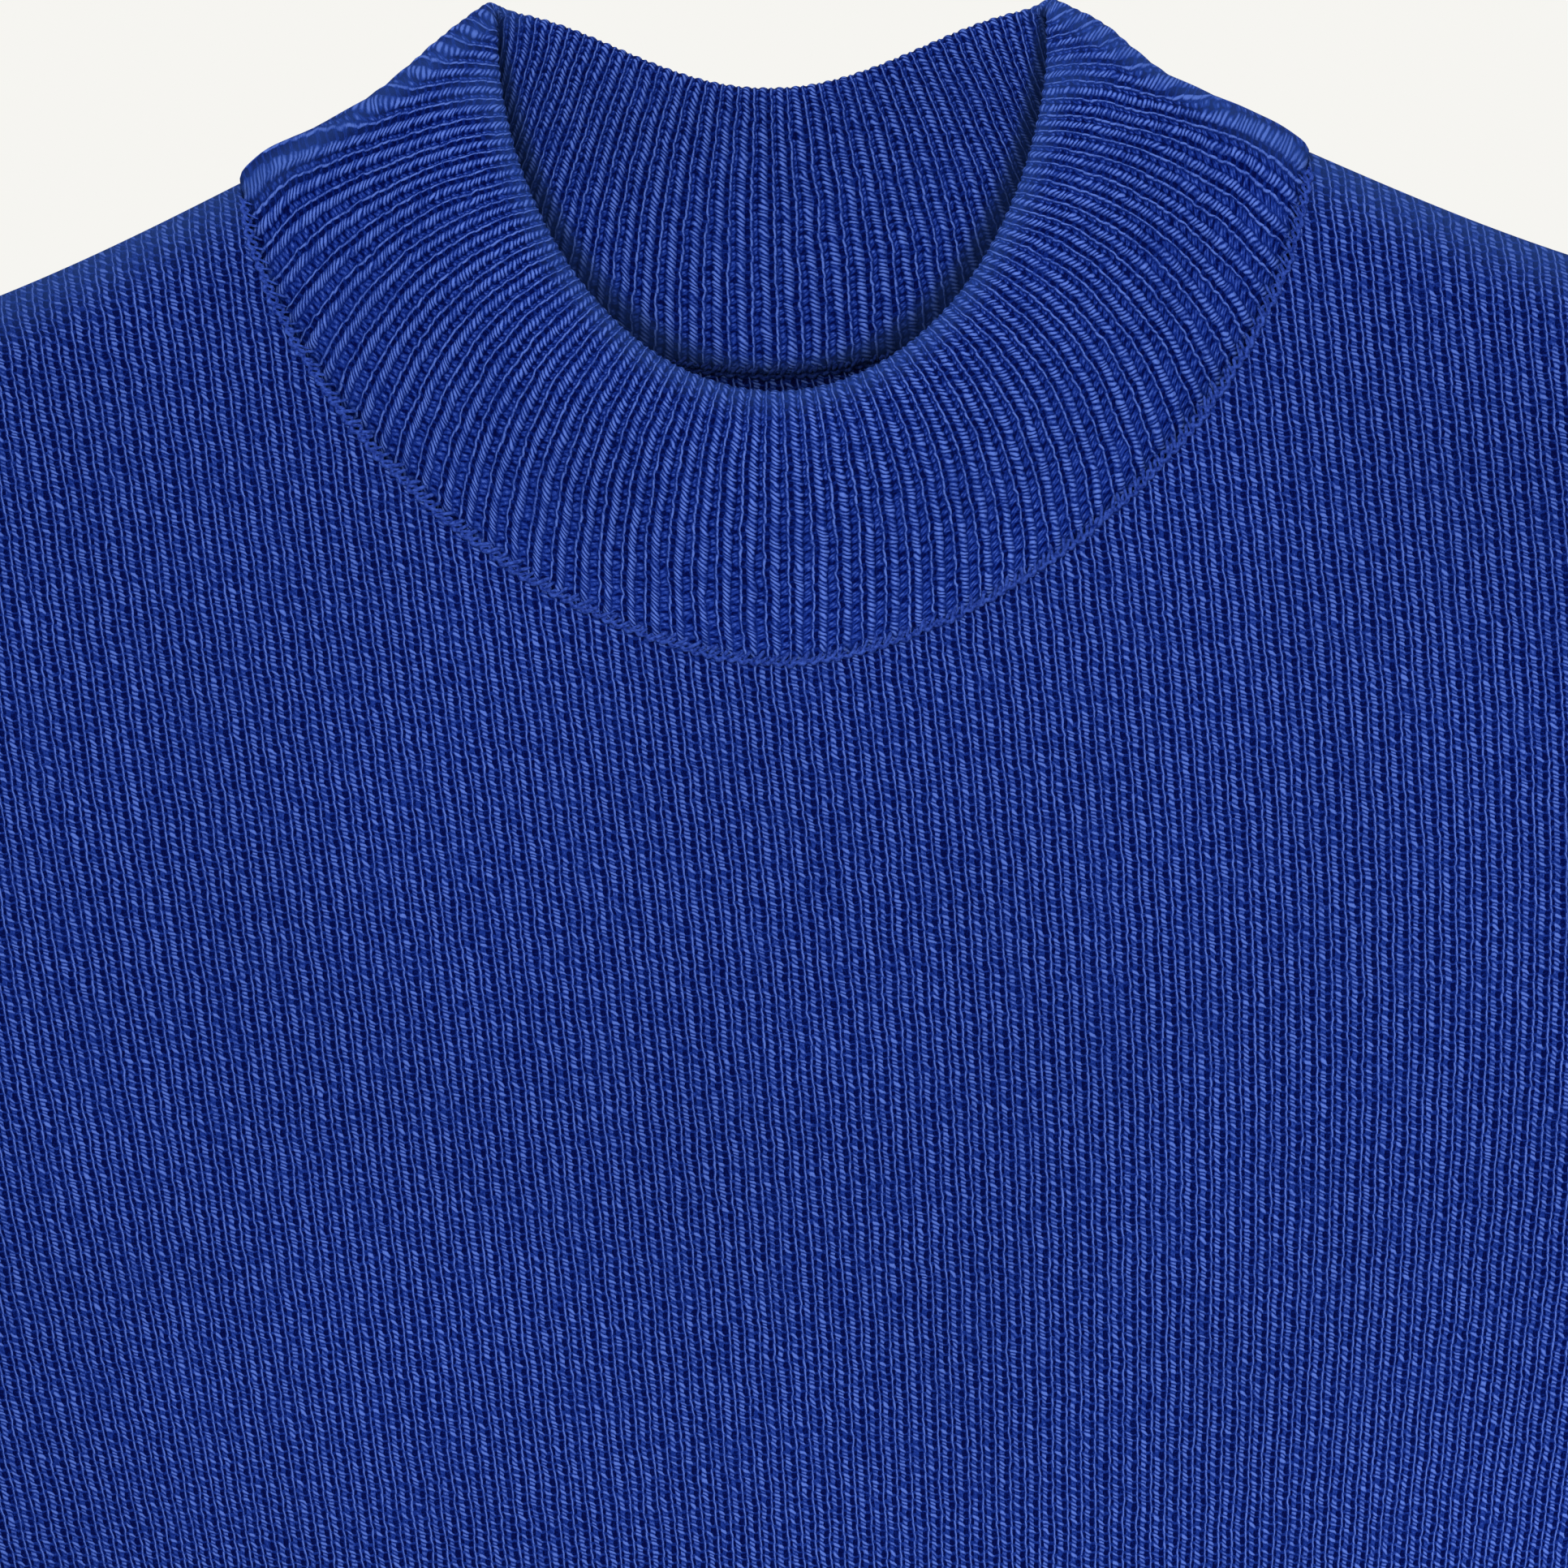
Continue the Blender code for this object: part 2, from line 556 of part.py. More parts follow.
def cuff(side):
    """A cuff: a flattened tube of ribs at the end of the sleeve."""
    seam_outer, seam_inner, down, across = sleeve_end()
    start_outer = seam_outer + down * SEAM_GAP
    start_inner = seam_inner + down * SEAM_GAP
    taper = (WRIST_WIDTH - CUFF_END_WIDTH) / 2
    end_outer = seam_outer + down * CUFF_HEIGHT + across * taper
    end_inner = seam_inner + down * CUFF_HEIGHT - across * taper
    count = 2 * CUFF_RIBS + 1
    share = np.linspace(0.0, 1.0, count)
    crest = np.where(np.arange(count) % 2 == 1, RIB_RELIEF, -RIB_RELIEF)
    total = 2.0 * CLOTH + SEAM_GAP + CUFF_LOFT
    upper = np.stack([share, total + crest], axis=-1)
    outer = np.concatenate([upper, [(1.0, 0.0), (0.0, 0.0)]])
    slit = CLOTH / WRIST_WIDTH
    inner_top = total - CLOTH
    inner = np.array([(slit, inner_top), (1.0 - slit, inner_top), (1.0 - slit, CLOTH), (slit, CLOTH)])
    points = []
    for start, end in ((start_outer, start_inner), (end_outer, end_inner)):
        for loop in (outer, inner):
            places = start + (end - start) * loop[:, :1]
            points += [(side * x, y, z) for (x, y), z in zip(places, loop[:, 1])]
    n, m = len(outer), len(inner)
    faces = [(i, (i + 1) % n, n + m + (i + 1) % n, n + m + i) for i in range(n)]
    faces += [(n + i, n + (i + 1) % m, 2 * n + m + (i + 1) % m, 2 * n + m + i) for i in range(m)]
    for first in (0, n + m):
        # Each end is the upper wall, the lower wall and the two folds.
        top = tuple(first + i for i in range(count))
        hole = [first + n + i for i in range(m)]
        faces.append(top + (hole[1], hole[0]))
        faces.append((first + count - 1, first + count, hole[2], hole[1]))
        faces.append((first + count, first + count + 1, hole[3], hole[2]))
        faces.append((first + count + 1, first, hole[0], hole[3]))
    name = "cuff_right" if side > 0 else "cuff_left"
    return add_piece(name, points, faces)


def centre_on_base():
    """Moves all pieces together, so that the origin is the centre of the base."""
    pieces = [o for o in bpy.data.objects if o.type == "MESH"]
    corners = np.array([v.co for piece in pieces for v in piece.data.vertices])
    low, high = corners.min(axis=0), corners.max(axis=0)
    for piece in pieces:
        for vertex in piece.data.vertices:
            vertex.co.x -= (low[0] + high[0]) / 2
            vertex.co.y -= (low[1] + high[1]) / 2
            vertex.co.z -= low[2]


def main():
    for obj in list(bpy.data.objects):
        bpy.data.objects.remove(obj)
    neckband()
    front_panel()
    back_panel()
    hem_ribs()
    for side in (1.0, -1.0):
        sleeve(side)
        cuff(side)
    centre_on_base()


main()
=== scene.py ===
"""The looks of a royal-blue crewneck sweater that lies flat on its back.

Each knitted piece is a thin closed shell on the form of its CAD solid, with its stitch columns
and ribs in the mesh and the single stitches in the material. Metres, +Z up, neck towards +Y.
Outlines are drawn with y = 0 at the neck points and moved to the frame's place at the end.
"""

import math

import bpy
import numpy as np
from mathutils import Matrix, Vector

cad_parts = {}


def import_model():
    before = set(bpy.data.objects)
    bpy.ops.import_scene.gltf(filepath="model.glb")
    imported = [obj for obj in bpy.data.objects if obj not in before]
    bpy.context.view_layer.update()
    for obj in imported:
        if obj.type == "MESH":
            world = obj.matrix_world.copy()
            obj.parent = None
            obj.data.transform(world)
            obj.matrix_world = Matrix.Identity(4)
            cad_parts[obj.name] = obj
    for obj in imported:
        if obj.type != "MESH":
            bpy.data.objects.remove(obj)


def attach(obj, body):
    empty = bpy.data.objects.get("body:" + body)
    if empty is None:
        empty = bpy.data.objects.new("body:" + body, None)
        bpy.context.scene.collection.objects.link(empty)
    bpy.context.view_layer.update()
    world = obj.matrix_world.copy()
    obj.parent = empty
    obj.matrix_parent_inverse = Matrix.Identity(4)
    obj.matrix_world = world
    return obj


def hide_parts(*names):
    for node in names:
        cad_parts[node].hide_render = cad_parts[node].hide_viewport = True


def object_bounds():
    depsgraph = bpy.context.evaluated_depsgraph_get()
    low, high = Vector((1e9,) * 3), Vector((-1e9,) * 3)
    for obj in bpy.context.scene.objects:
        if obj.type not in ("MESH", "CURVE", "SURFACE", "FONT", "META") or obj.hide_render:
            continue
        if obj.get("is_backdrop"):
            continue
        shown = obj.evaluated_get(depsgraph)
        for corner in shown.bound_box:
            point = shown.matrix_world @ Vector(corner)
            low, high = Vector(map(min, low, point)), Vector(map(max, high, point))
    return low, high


MM = 0.001
NECK_Y = 273.45 * MM  # the neck points' line, in the frame

# Cloth
CLOTH = 2.0 * MM
BAND = 4.0 * MM
SEAM_GAP = 0.3 * MM
SEAM_LAP = 0.6 * MM  # how far linked pieces reach into each other
LOFT = 2.4 * MM
EDGE_ROLL = 14.0 * MM
HEM_EASE = 70.0 * MM
WALE = 2.97 * MM  # one column of stitches, at the front's centre
COURSE = 1.72 * MM  # one row of stitches

# Points on the outlines' dense lines
FRONT_POINTS = 900
BACK_POINTS = 400
ARMHOLE_POINTS = 300

# Neckband
NECK_HALF = 105.5 * MM
SEAM_DROP = 98.6 * MM
SEAM_POWER = 1.7
BACK_SEAM_DROP = 41.5 * MM
BACK_SEAM_POWER = 1.8
PEAK_HALF = 55.3 * MM
PEAK_RISE = 31.9 * MM
RIM_DEPTH = 77.7 * MM
BACK_RIM_RISE = 14.7 * MM
BACK_RIM_POWER = 2.2
BACK_RIM_ROUND = 1.7
FOLD_RADIUS = 2.6 * MM
FOLD_REACH = 14.0 * MM
RIM_LIFT = 4.8 * MM
SEAM_SINK = 1.8 * MM
SIDE_SINK = 2.0 * MM
PEAK_LEAN = 1.3 * MM
FOLD_WAVE = 0.5 * MM
FOLD_WAVE_REACH = 5.0 * FOLD_RADIUS
FOLD_BULGE_COLUMNS = ("side", "down", "out", "width")  # along the band's silhouette, in mm and shares
FOLD_BULGES = (
    (-1, 0.90, 1.7, 0.17),
    (-1, 0.45, -0.8, 0.20),
    (1, 0.20, 1.3, 0.13),
    (1, 0.48, -0.5, 0.10),
    (1, 0.90, 0.9, 0.20),
)
FOLD_SHEEN_REACH = 3.6 * MM  # how far the painted sheen over the fold reaches in from the silhouette
RIB_TURN = 13.0  # degrees that the ribs beside the peaks leave the rim above its normal
BAND_HEIGHT = 54.0 * MM
BAND_RIBS = 100
FRONT_SHARE = 0.54
FRONT_FAN = 0.805
BAND_COLUMNS = 10  # mesh columns in a rib
BAND_ROWS = 34  # mesh rows from the seam to the rim's turn, on each side
RIB_DEPTH = 1.0 * MM  # of the troughs between the neckband's ribs
RIM_RIB_DEPTH = 0.8 * MM
RIB_PROUD = 0.5 * MM  # the ribs' crests stand this far above the band's mean surface
BAND_COURSE = 1.76 * MM
RIM_TROUGH = 0.12  # share of a rib that its trough takes, at the rim and at the two seams
FRONT_TROUGH = 0.34
BACK_TROUGH = 0.22
FOLD_FLAT = 0.75  # share of the ribs' relief that is lost over the fold
SEAM_THIN = 0.45  # share of its thickness that the band loses at its seam
SEAM_THIN_REACH = 1.3 * MM
HOLE_SHADE = 0.65  # of the painted shade in the holes between the linked stitches
HOLE_REACH = 1.6 * MM
CRESCENT_DARK = 0.52  # of the shade below the front rim, on the back's inner side
FOLD_PALE = 0.40  # share of the pale blue over the fold's painted sheen and in the crescent's painted shadow
LINK_PITCH = 2.33 * MM  # of the linking line's stitches

# Body
SHOULDER_HALF = 200.0 * MM
SHOULDER_DROP = 36.0 * MM
SHOULDER_START = 0.6 * MM
SHOULDER_SAG = 2.9 * MM
CHEST_HALF = 250.0 * MM
UNDERARM_DROP = 225.0 * MM
WAIST_HALF = 243.0 * MM
BODY_DROP = 525.0 * MM
HEM_HEIGHT = 56.0 * MM
HEM_HALF = 236.0 * MM
HEM_RIBS = 96
HEM_THICK = 2.4 * MM  # of the front hem, over its ribs' crests
HEM_RELIEF = 0.38  # share of a hem's thickness that its ribs' troughs take
HEM_EDGE = 0.3 * MM  # thickness of a hem at its rounded edges
END_ROUND = 1.2 * MM
SIDE_ROUND = 2.0 * MM
WALE_DEPTH = 0.26 * MM  # of the grooves between stitch columns, in the mesh
WALE_LEVEL = -200.0 * MM  # where the columns are evenly spaced
WALE_TROUGH = 0.16  # share of a stitch column that its trough takes
RIB_TROUGH = 0.20
FINE_HALF = 162.0 * MM  # the front's mesh is fine this far from its centre
FINE_MARKS = (0.11, 0.30, 0.55, 0.84)  # places of mesh columns in a stitch column
COARSE_MARKS = (0.05, 0.55)
BACK_MARKS = (0.0,)
ROWS_SPLIT = 0.47  # share of the front's height, outside the photograph, that has few rows
LOW_ROWS = 24
HIGH_ROWS = 116
BACK_ROWS = 60
FRONT_EDGE = 0.35 * MM  # height of the front's rounded edge above its underside
FRONT_ROUND = 4.0 * MM
BACK_ROUND = 3.0 * MM

# Sleeves
SLEEVE_LENGTH = 470.0 * MM
SLEEVE_ANGLE = 45.0
CAP_ANGLE = 66.0
WRIST_ANGLE = 37.0
CAP_PULL = 150.0 * MM
WRIST_PULL = 150.0 * MM
WRIST_WIDTH = 104.0 * MM
CUFF_HEIGHT = 56.0 * MM
CUFF_END_WIDTH = 92.0 * MM
CUFF_LOFT = 0.8 * MM
CUFF_RIBS = 26
CUFF_DEPTH = 0.8 * MM  # of the troughs between the cuffs' ribs
CUFF_ROUND = 2.6 * MM
SLEEVE_ROUND = 0.35  # power that rounds the sleeve's folds

FOLD_COLUMNS = ("x0", "y0", "x1", "y1", "height", "width")
FRONT_FOLDS = (
    (-128, -150, -8, -300, -1.1, 34),
    (170, -190, 52, -275, -1.1, 34),
    (-168, -110, -120, -330, 1.0, 30),
    (176, -290, 90, -420, 0.9, 36),
    (-190, -330, -60, -430, -0.9, 34),
    (150, -395, 226, -250, 0.7, 26),
)

WOOL = {
    "Roughness": 0.85,
    "Specular IOR Level": 0.02,
    "Sheen Weight": 0.10,
    "Sheen Roughness": 0.45,
    "Sheen Tint": (0.10, 0.28, 1.0, 1.0),
}

# Wool colours, dark to bright: the darkest paint shade into the knit's gaps, the brightest adds a painted
# sheen to its crests
GAP_SHADE_BLUE = (0.0006, 0.0030, 0.065)
DEEP_BLUE = (0.0030, 0.0150, 0.170)
MID_BLUE = (0.0155, 0.0500, 0.345)
CREST_SHEEN_BLUE = (0.1280, 0.2320, 0.770)
# Paler blue for the fuzz, for the painted sheen and for the paled painted shadow
FUZZ_AND_SHEEN_BLUE = (0.0380, 0.0980, 0.370)
YARN_BLUE = (0.0700, 0.1500, 0.640)
PLAIN_TONE = 0.765
RIB_TONE = 0.80
FRONT_YARN_TONE = 0.92
BACK_YARN_TONE = 0.3  # in the shade of the band

ROW_HEIGHT = 0.58  # of a row of stitches, in stitch columns
# Across a stitch column, in shares of what its trough leaves: the thin line, then the rope
LINE_AT = 0.13
LINE_HALF = 0.085
# In both looks, holes and notches set the painted shade in the knit's holes, and the lights set its
# painted light.
PLAIN_LOOK = {
    "rope_at": 0.65,
    "rope_half": 0.27,
    "slope": 0.36,  # rows that a stroke falls across the rope
    "trough_strokes": 0.0,
    "second_stroke": 0.34,  # how much dimmer every other stroke is
    "stroke_light": 0.44,
    "base_light": 0.30,
    "holes": 1.50,
    "notches": 1.15,
}
RIB_LOOK = {
    "rope_at": 0.69,
    "rope_half": 0.26,
    "slope": 0.62,
    "trough_strokes": 0.52,
    "second_stroke": 0.14,
    "stroke_light": 0.56,
    "base_light": 0.21,
    "holes": 0.45,
    "notches": 1.15,
}

# Camera
PHOTO_PIXELS = 1932
PIXEL = 0.3097 / PHOTO_PIXELS  # metres on the sweater to a pixel of the photograph
CAMERA_TILT = 1.65  # degrees
CAMERA_HEIGHT = 1.7
LOOKED_AT = 8.0 * MM  # height of the cloth that PIXEL is measured on
SENSOR = 36.0
NECK_PIXEL = (955, 199)  # where the middle of the neck points' line appears

# Stage
FLOOR_HALF = 40.0
FLOOR_Z = -0.3 * MM
PAPER_WHITE = (0.921, 0.913, 0.880)
SKY_WHITE = (0.92, 0.94, 1.0)
SKY_STRENGTH = 0.55
LAMP_AIM = (0.0, 0.12, 0.0)
LAMPS = (  # name, place, width and power
    ("key", (-0.5, 1.1, 1.9), 1.6, 26.0),
    ("fill", (0.9, -0.3, 2.1), 2.0, 12.0),
)


def smoothstep(low, high, value):
    """0 at low, 1 at high, a smooth step between them, and level beyond them."""
    share = np.clip((value - low) / (high - low), 0.0, 1.0)
    return share * share * (3.0 - 2.0 * share)


def ridge(distance, width):
    """1 at no distance, falling off smoothly on both sides over this width."""
    return np.exp(-((distance / width) ** 2))


def rounding(distance, reach):
    """0 at an edge, rising as a quarter circle to 1 at this reach inside it."""
    return np.sqrt(1.0 - (1.0 - np.clip(distance / reach, 0.0, 1.0)) ** 2)


def lengths(steps):
    """Lengths of vectors, which lie along the last axis."""
    return np.linalg.norm(steps, axis=-1)


def travelled(steps):
    """How far each row's points are along it, from the lengths of its steps."""
    return np.concatenate([np.zeros((len(steps), 1)), np.cumsum(steps, axis=1)], axis=1)


def at_height(places, z):
    """Places in the plane, lifted to these heights."""
    return np.concatenate([places, np.broadcast_to(z, places.shape[:-1])[..., None]], axis=-1)


def line_runs(line):
    """How far each point of a dense line is along it."""
    return travelled(lengths(np.diff(line, axis=0))[None])[0]


def line_length(line):
    """A dense line's whole length."""
    return line_runs(line)[-1]


def along(line, distances):
    """Points at these distances along a dense line."""
    return np.stack([np.interp(distances, line_runs(line), axis) for axis in line.T], axis=-1)


# Outlines, as in the CAD


def front_seam_y(x):
    """Height of the front neck seam at x."""
    share = np.clip(np.abs(x) / NECK_HALF, 0.0, 1.0)
    return -SEAM_DROP * (1.0 - share**SEAM_POWER) ** (1.0 / SEAM_POWER)


def back_seam_y(x):
    """Height of the back neck seam at x."""
    share = np.clip(np.abs(x) / NECK_HALF, 0.0, 1.0)
    return -BACK_SEAM_DROP * (1.0 - share**BACK_SEAM_POWER)


def front_seam_line():
    """The right half of the front seam, from the centre to the neck point."""
    turn = np.linspace(0.0, math.pi / 2, FRONT_POINTS)
    x = NECK_HALF * np.sin(turn) ** (2.0 / SEAM_POWER)
    y = -SEAM_DROP * np.cos(turn) ** (2.0 / SEAM_POWER)
    return np.stack([x, y], axis=-1)


def back_seam_line():
    """The right half of the back seam, from the neck point to the centre."""
    x = np.linspace(NECK_HALF, 0.0, BACK_POINTS)
    return np.stack([x, back_seam_y(x)], axis=-1)


def front_rim_line():
    """The right half of the front rim, from the centre to the peak."""
    turn = np.linspace(0.0, math.pi / 2, FRONT_POINTS)
    x = PEAK_HALF * np.sin(turn)
    y = PEAK_RISE - RIM_DEPTH * np.cos(turn)
    return np.stack([x, y], axis=-1)


def back_rim_line():
    """The right half of the back rim, from the peak to the centre."""
    x = np.linspace(PEAK_HALF, 0.0, BACK_POINTS)
    share = x / PEAK_HALF
    rise = share**BACK_RIM_POWER * (1.0 + BACK_RIM_ROUND * (1.0 - share))
    return np.stack([x, BACK_RIM_RISE + (PEAK_RISE - BACK_RIM_RISE) * rise], axis=-1)


# The right side's fold runs from the rim's peak to the neck point, along the band's silhouette.
PEAK = np.array([PEAK_HALF, PEAK_RISE])
NECK_POINT = np.array([NECK_HALF, 0.0])
FOLD_ALONG = NECK_POINT - PEAK
FOLD_LENGTH = np.linalg.norm(FOLD_ALONG)
FOLD_ALONG = FOLD_ALONG / FOLD_LENGTH
FOLD_INWARD = np.array([FOLD_ALONG[1], -FOLD_ALONG[0]])
FOLD_START = PEAK + FOLD_INWARD * BAND / 2


def drawn_in(points, end):
    """A line's points, drawn in near this end, so that the band's middle surface ends on the fold."""
    distance = lengths(points - end)[:, None]
    return points + FOLD_INWARD * BAND / 2 * ridge(distance, FOLD_REACH)


def mirrored_over_fold(points):
    """The back layer's points, opened out over the fold into the front layer's plane."""
    inward = (points - FOLD_START) @ FOLD_INWARD
    return points - 2.0 * inward[..., None] * FOLD_INWARD


def folded(points):
    """Opened-out points turned back over the fold: places, normals and distances from the fold."""
    inward = (points - FOLD_START) @ FOLD_INWARD
    turn = np.clip(inward / FOLD_RADIUS, -1.0, 1.0) * math.pi / 2
    round_part = FOLD_RADIUS * (1.0 - np.cos(turn))
    distance = np.where(np.abs(inward) < FOLD_RADIUS, round_part, np.abs(inward))
    places = points + (distance - inward)[..., None] * FOLD_INWARD
    level = np.sin(turn)
    down = (points - FOLD_START) @ FOLD_ALONG / FOLD_LENGTH
    wave = np.cos(2.0 * math.pi * down) * smoothstep(1.0, 0.85, down)
    wave = FOLD_WAVE * wave * ridge(inward, FOLD_WAVE_REACH)
    places = places - wave[..., None] * FOLD_INWARD
    middle = at_height(places, BAND / 2 + FOLD_RADIUS * (1.0 + level))
    normal = at_height(-np.cos(turn)[..., None] * FOLD_INWARD, level)
    return middle, normal, inward


def from_fold(x, y):
    """Distance inside the band's fold, and share of the way down it from the peak."""
    from_start = np.stack([np.abs(x), y], axis=-1) - FOLD_START
    return from_start @ FOLD_INWARD, from_start @ FOLD_ALONG / FOLD_LENGTH


def fold_bulge(x, y):
    """How far the band's points move where its silhouette bulges out or draws in."""
    inward, down = from_fold(x, y)
    out = np.zeros_like(x)
    for values in FOLD_BULGES:
        bulge = dict(zip(FOLD_BULGE_COLUMNS, values))
        here = ridge(down - bulge["down"], bulge["width"])
        out = out + np.where(np.sign(x) == bulge["side"], bulge["out"] * MM * here, 0.0)
    out = out * ridge(inward, FOLD_WAVE_REACH)
    return np.stack([-FOLD_INWARD[0] * out * np.sign(x), -FOLD_INWARD[1] * out], axis=-1)


def round_fold(front, back, front_run, back_run, on_front):
    """Opened-out points at these runs: on the front's line where on_front says so, else on the back's."""
    opened = mirrored_over_fold(along(back, back_run))
    return np.where(on_front[:, None], along(front, front_run), opened)


def rib_ends(share):
    """Opened-out seam and rim points of the ribs at these shares, 0 front centre to 1 back centre."""
    part = np.clip(share / FRONT_SHARE, 0.0, 1.0)
    fan = FRONT_FAN * part + (1.0 - FRONT_FAN) * part**2
    rest = np.clip((share - FRONT_SHARE) / (1.0 - FRONT_SHARE), 0.0, 1.0)
    front, back = (drawn_in(line, NECK_POINT) for line in (front_seam_line(), back_seam_line()))
    runs = fan * line_length(front), rest * line_length(back)
    seam = round_fold(front, back, *runs, share <= FRONT_SHARE)
    front, back = (drawn_in(line, PEAK) for line in (front_rim_line(), back_rim_line()))
    run = share * (line_length(front) + line_length(back))
    rim = round_fold(front, back, run, run - line_length(front), run <= line_length(front))
    return seam, rim


def rib_path(seam, bend, rim, height):
    """Opened-out points of the ribs at these heights, from 0 at the seam to 1 at the rim."""
    height = height[..., None]
    low = (1.0 - height) ** 2 * seam[:, None]
    return low + 2.0 * height * (1.0 - height) * bend[:, None] + height**2 * rim[:, None]


def rib_heights(seam, bend, rim, shares):
    """Heights of each rib's points, which close up where the rib turns over the fold."""
    dense = np.linspace(0.0, 1.0, 201)
    path = rib_path(seam, bend, rim, np.broadcast_to(dense, (len(seam), len(dense))))
    inward = (path - FOLD_START) @ FOLD_INWARD
    density = 1.0 + 4.0 * ridge(inward, 1.5 * FOLD_RADIUS)
    runs = travelled((density[:, 1:] + density[:, :-1]) / 2)
    return np.array([np.interp(shares * run[-1], run, dense) for run in runs])


def band_middle(share, shares):
    """Middle surface of the band's right half, with its normals and its opened-out points.

    Share counts the ribs from the front centre to the back centre, and shares are their heights.
    """
    seam, rim = rib_ends(share)
    nearby = 1e-3
    ahead = rib_ends(np.clip(share + nearby, 0.0, 1.0))[1]
    behind = rib_ends(np.clip(share - nearby, 0.0, 1.0))[1]
    along_rim = ahead - behind
    along_rim = along_rim / lengths(along_rim)[:, None]
    outward = np.stack([along_rim[:, 1], -along_rim[:, 0]], axis=-1)
    turned = smoothstep(0.15, 0.42, share) * (1.0 - smoothstep(0.55, 0.75, share))
    turned = np.radians(RIB_TURN * turned)[:, None]
    outward = outward * np.cos(turned) + along_rim * np.sin(turned)
    chord = lengths(seam - rim)[:, None]
    bend = rim + outward * chord / 2
    height = rib_heights(seam, bend, rim, shares)
    path = rib_path(seam, bend, rim, height)
    middle, normal, inward = folded(path)
    centre = 1.0 - smoothstep(0.25, 0.5, share)[:, None]
    rim_lift = RIM_LIFT * (1.0 - smoothstep(0.35, 0.66, share))[:, None]
    rise = smoothstep(0.0, 0.9, height)
    lift = rim_lift * rise - SEAM_SINK * centre * (1.0 - rise)
    middle[..., 2] += lift * smoothstep(FOLD_RADIUS, 9.0 * FOLD_RADIUS, inward)
    # Beside the shoulders the band's lower end slopes down to the panel.
    slope_end = smoothstep(0.22, 0.40, share)[:, None] * (1.0 - smoothstep(0.0, 0.13, height))
    middle[..., 2] -= SIDE_SINK * slope_end * smoothstep(0.0, FOLD_RADIUS, inward)
    return middle, normal, path


def shoulder_y(x):
    """Height of the shoulder line at x, between the neck point and the shoulder point."""
    share = np.clip((np.abs(x) - NECK_HALF) / (SHOULDER_HALF - NECK_HALF), 0.0, 1.0)
    sag = SHOULDER_SAG * np.sin(math.pi * share)
    return -SHOULDER_START - (SHOULDER_DROP - SHOULDER_START) * share - sag


def curve(start, start_pull, end_pull, end, count):
    """Points on a smooth curve, which leaves and reaches its ends along the two pulls."""
    share = np.linspace(0.0, 1.0, count)[:, None]
    return (
        (1 - share) ** 3 * start
        + 3 * share * (1 - share) ** 2 * (start + start_pull)
        + 3 * share**2 * (1 - share) * (end + end_pull)
        + share**3 * end
    )


def direction(degrees):
    """Unit vector at this angle from straight down, turned outwards."""
    angle = math.radians(degrees)
    return np.array([math.sin(angle), -math.cos(angle)])


def armhole_line():
    """The right armhole seam, from the shoulder point to the underarm."""
    start = np.array([SHOULDER_HALF, -SHOULDER_DROP])
    end = np.array([CHEST_HALF, -UNDERARM_DROP])
    start_pull = np.array([1.0, -75.0]) * MM
    end_pull = np.array([-26.0, 66.0]) * MM
    return curve(start, start_pull, end_pull, end, ARMHOLE_POINTS)


def shoulder_distance(x, y):
    """Distance below the shoulder line."""
    slope = math.atan2(SHOULDER_DROP, SHOULDER_HALF - NECK_HALF)
    return (shoulder_y(x) - y) * math.cos(slope)


def side_distance(x, y):
    """Distance inside the side seam."""
    down = np.clip((-y - UNDERARM_DROP) / (BODY_DROP - UNDERARM_DROP), 0.0, 1.0)
    return CHEST_HALF + (WAIST_HALF - CHEST_HALF) * down - np.abs(x)


def edge_distance(x, y):
    """Distance inside the nearer of the shoulder line and the side seam."""
    return np.minimum(shoulder_distance(x, y), side_distance(x, y))


def fold_relief(x, y):
    """Height that the soft folds of the front add at x, y."""
    relief = np.zeros_like(x)
    for values in FRONT_FOLDS:
        fold = dict(zip(FOLD_COLUMNS, values))
        start = np.array([fold["x0"], fold["y0"]]) * MM
        run = np.array([fold["x1"], fold["y1"]]) * MM - start
        length = np.linalg.norm(run)
        run = run / length
        share = ((x - start[0]) * run[0] + (y - start[1]) * run[1]) / length
        across = (x - start[0]) * run[1] - (y - start[1]) * run[0]
        fade = smoothstep(-0.15, 0.3, share) * (1.0 - smoothstep(0.7, 1.15, share))
        width = fold["width"] * MM
        relief = relief + fold["height"] * MM * fade * ridge(across, width)
    return relief


def neck_distance(x, y):
    """Rough distance outside the front neck seam."""
    neck = (np.abs(x) / NECK_HALF) ** SEAM_POWER + (np.maximum(-y, 0.0) / SEAM_DROP) ** SEAM_POWER
    return (neck ** (1.0 / SEAM_POWER) - 1.0) * NECK_HALF


def front_height(x, y):
    """Upper surface of the front panel at x, y, with its shoulders and sides rounded off."""
    neck = neck_distance(x, y)
    side = smoothstep(0.3, 0.9, np.abs(x) / NECK_HALF)
    near_seam = (0.5 + 1.1 * side) * MM * ridge(neck, 38.0 * MM)
    valley = 0.7 * MM * ridge(neck, 9.0 * MM)
    edge = edge_distance(x, y)
    eased = rounding(edge, EDGE_ROLL) * smoothstep(-BODY_DROP, -BODY_DROP + HEM_EASE, y)
    full = 2.0 * CLOTH + SEAM_GAP + eased * (LOFT + near_seam - valley + fold_relief(x, y))
    lowest = CLOTH + SEAM_GAP + FRONT_EDGE
    return lowest + (full - lowest) * rounding(edge, FRONT_ROUND)


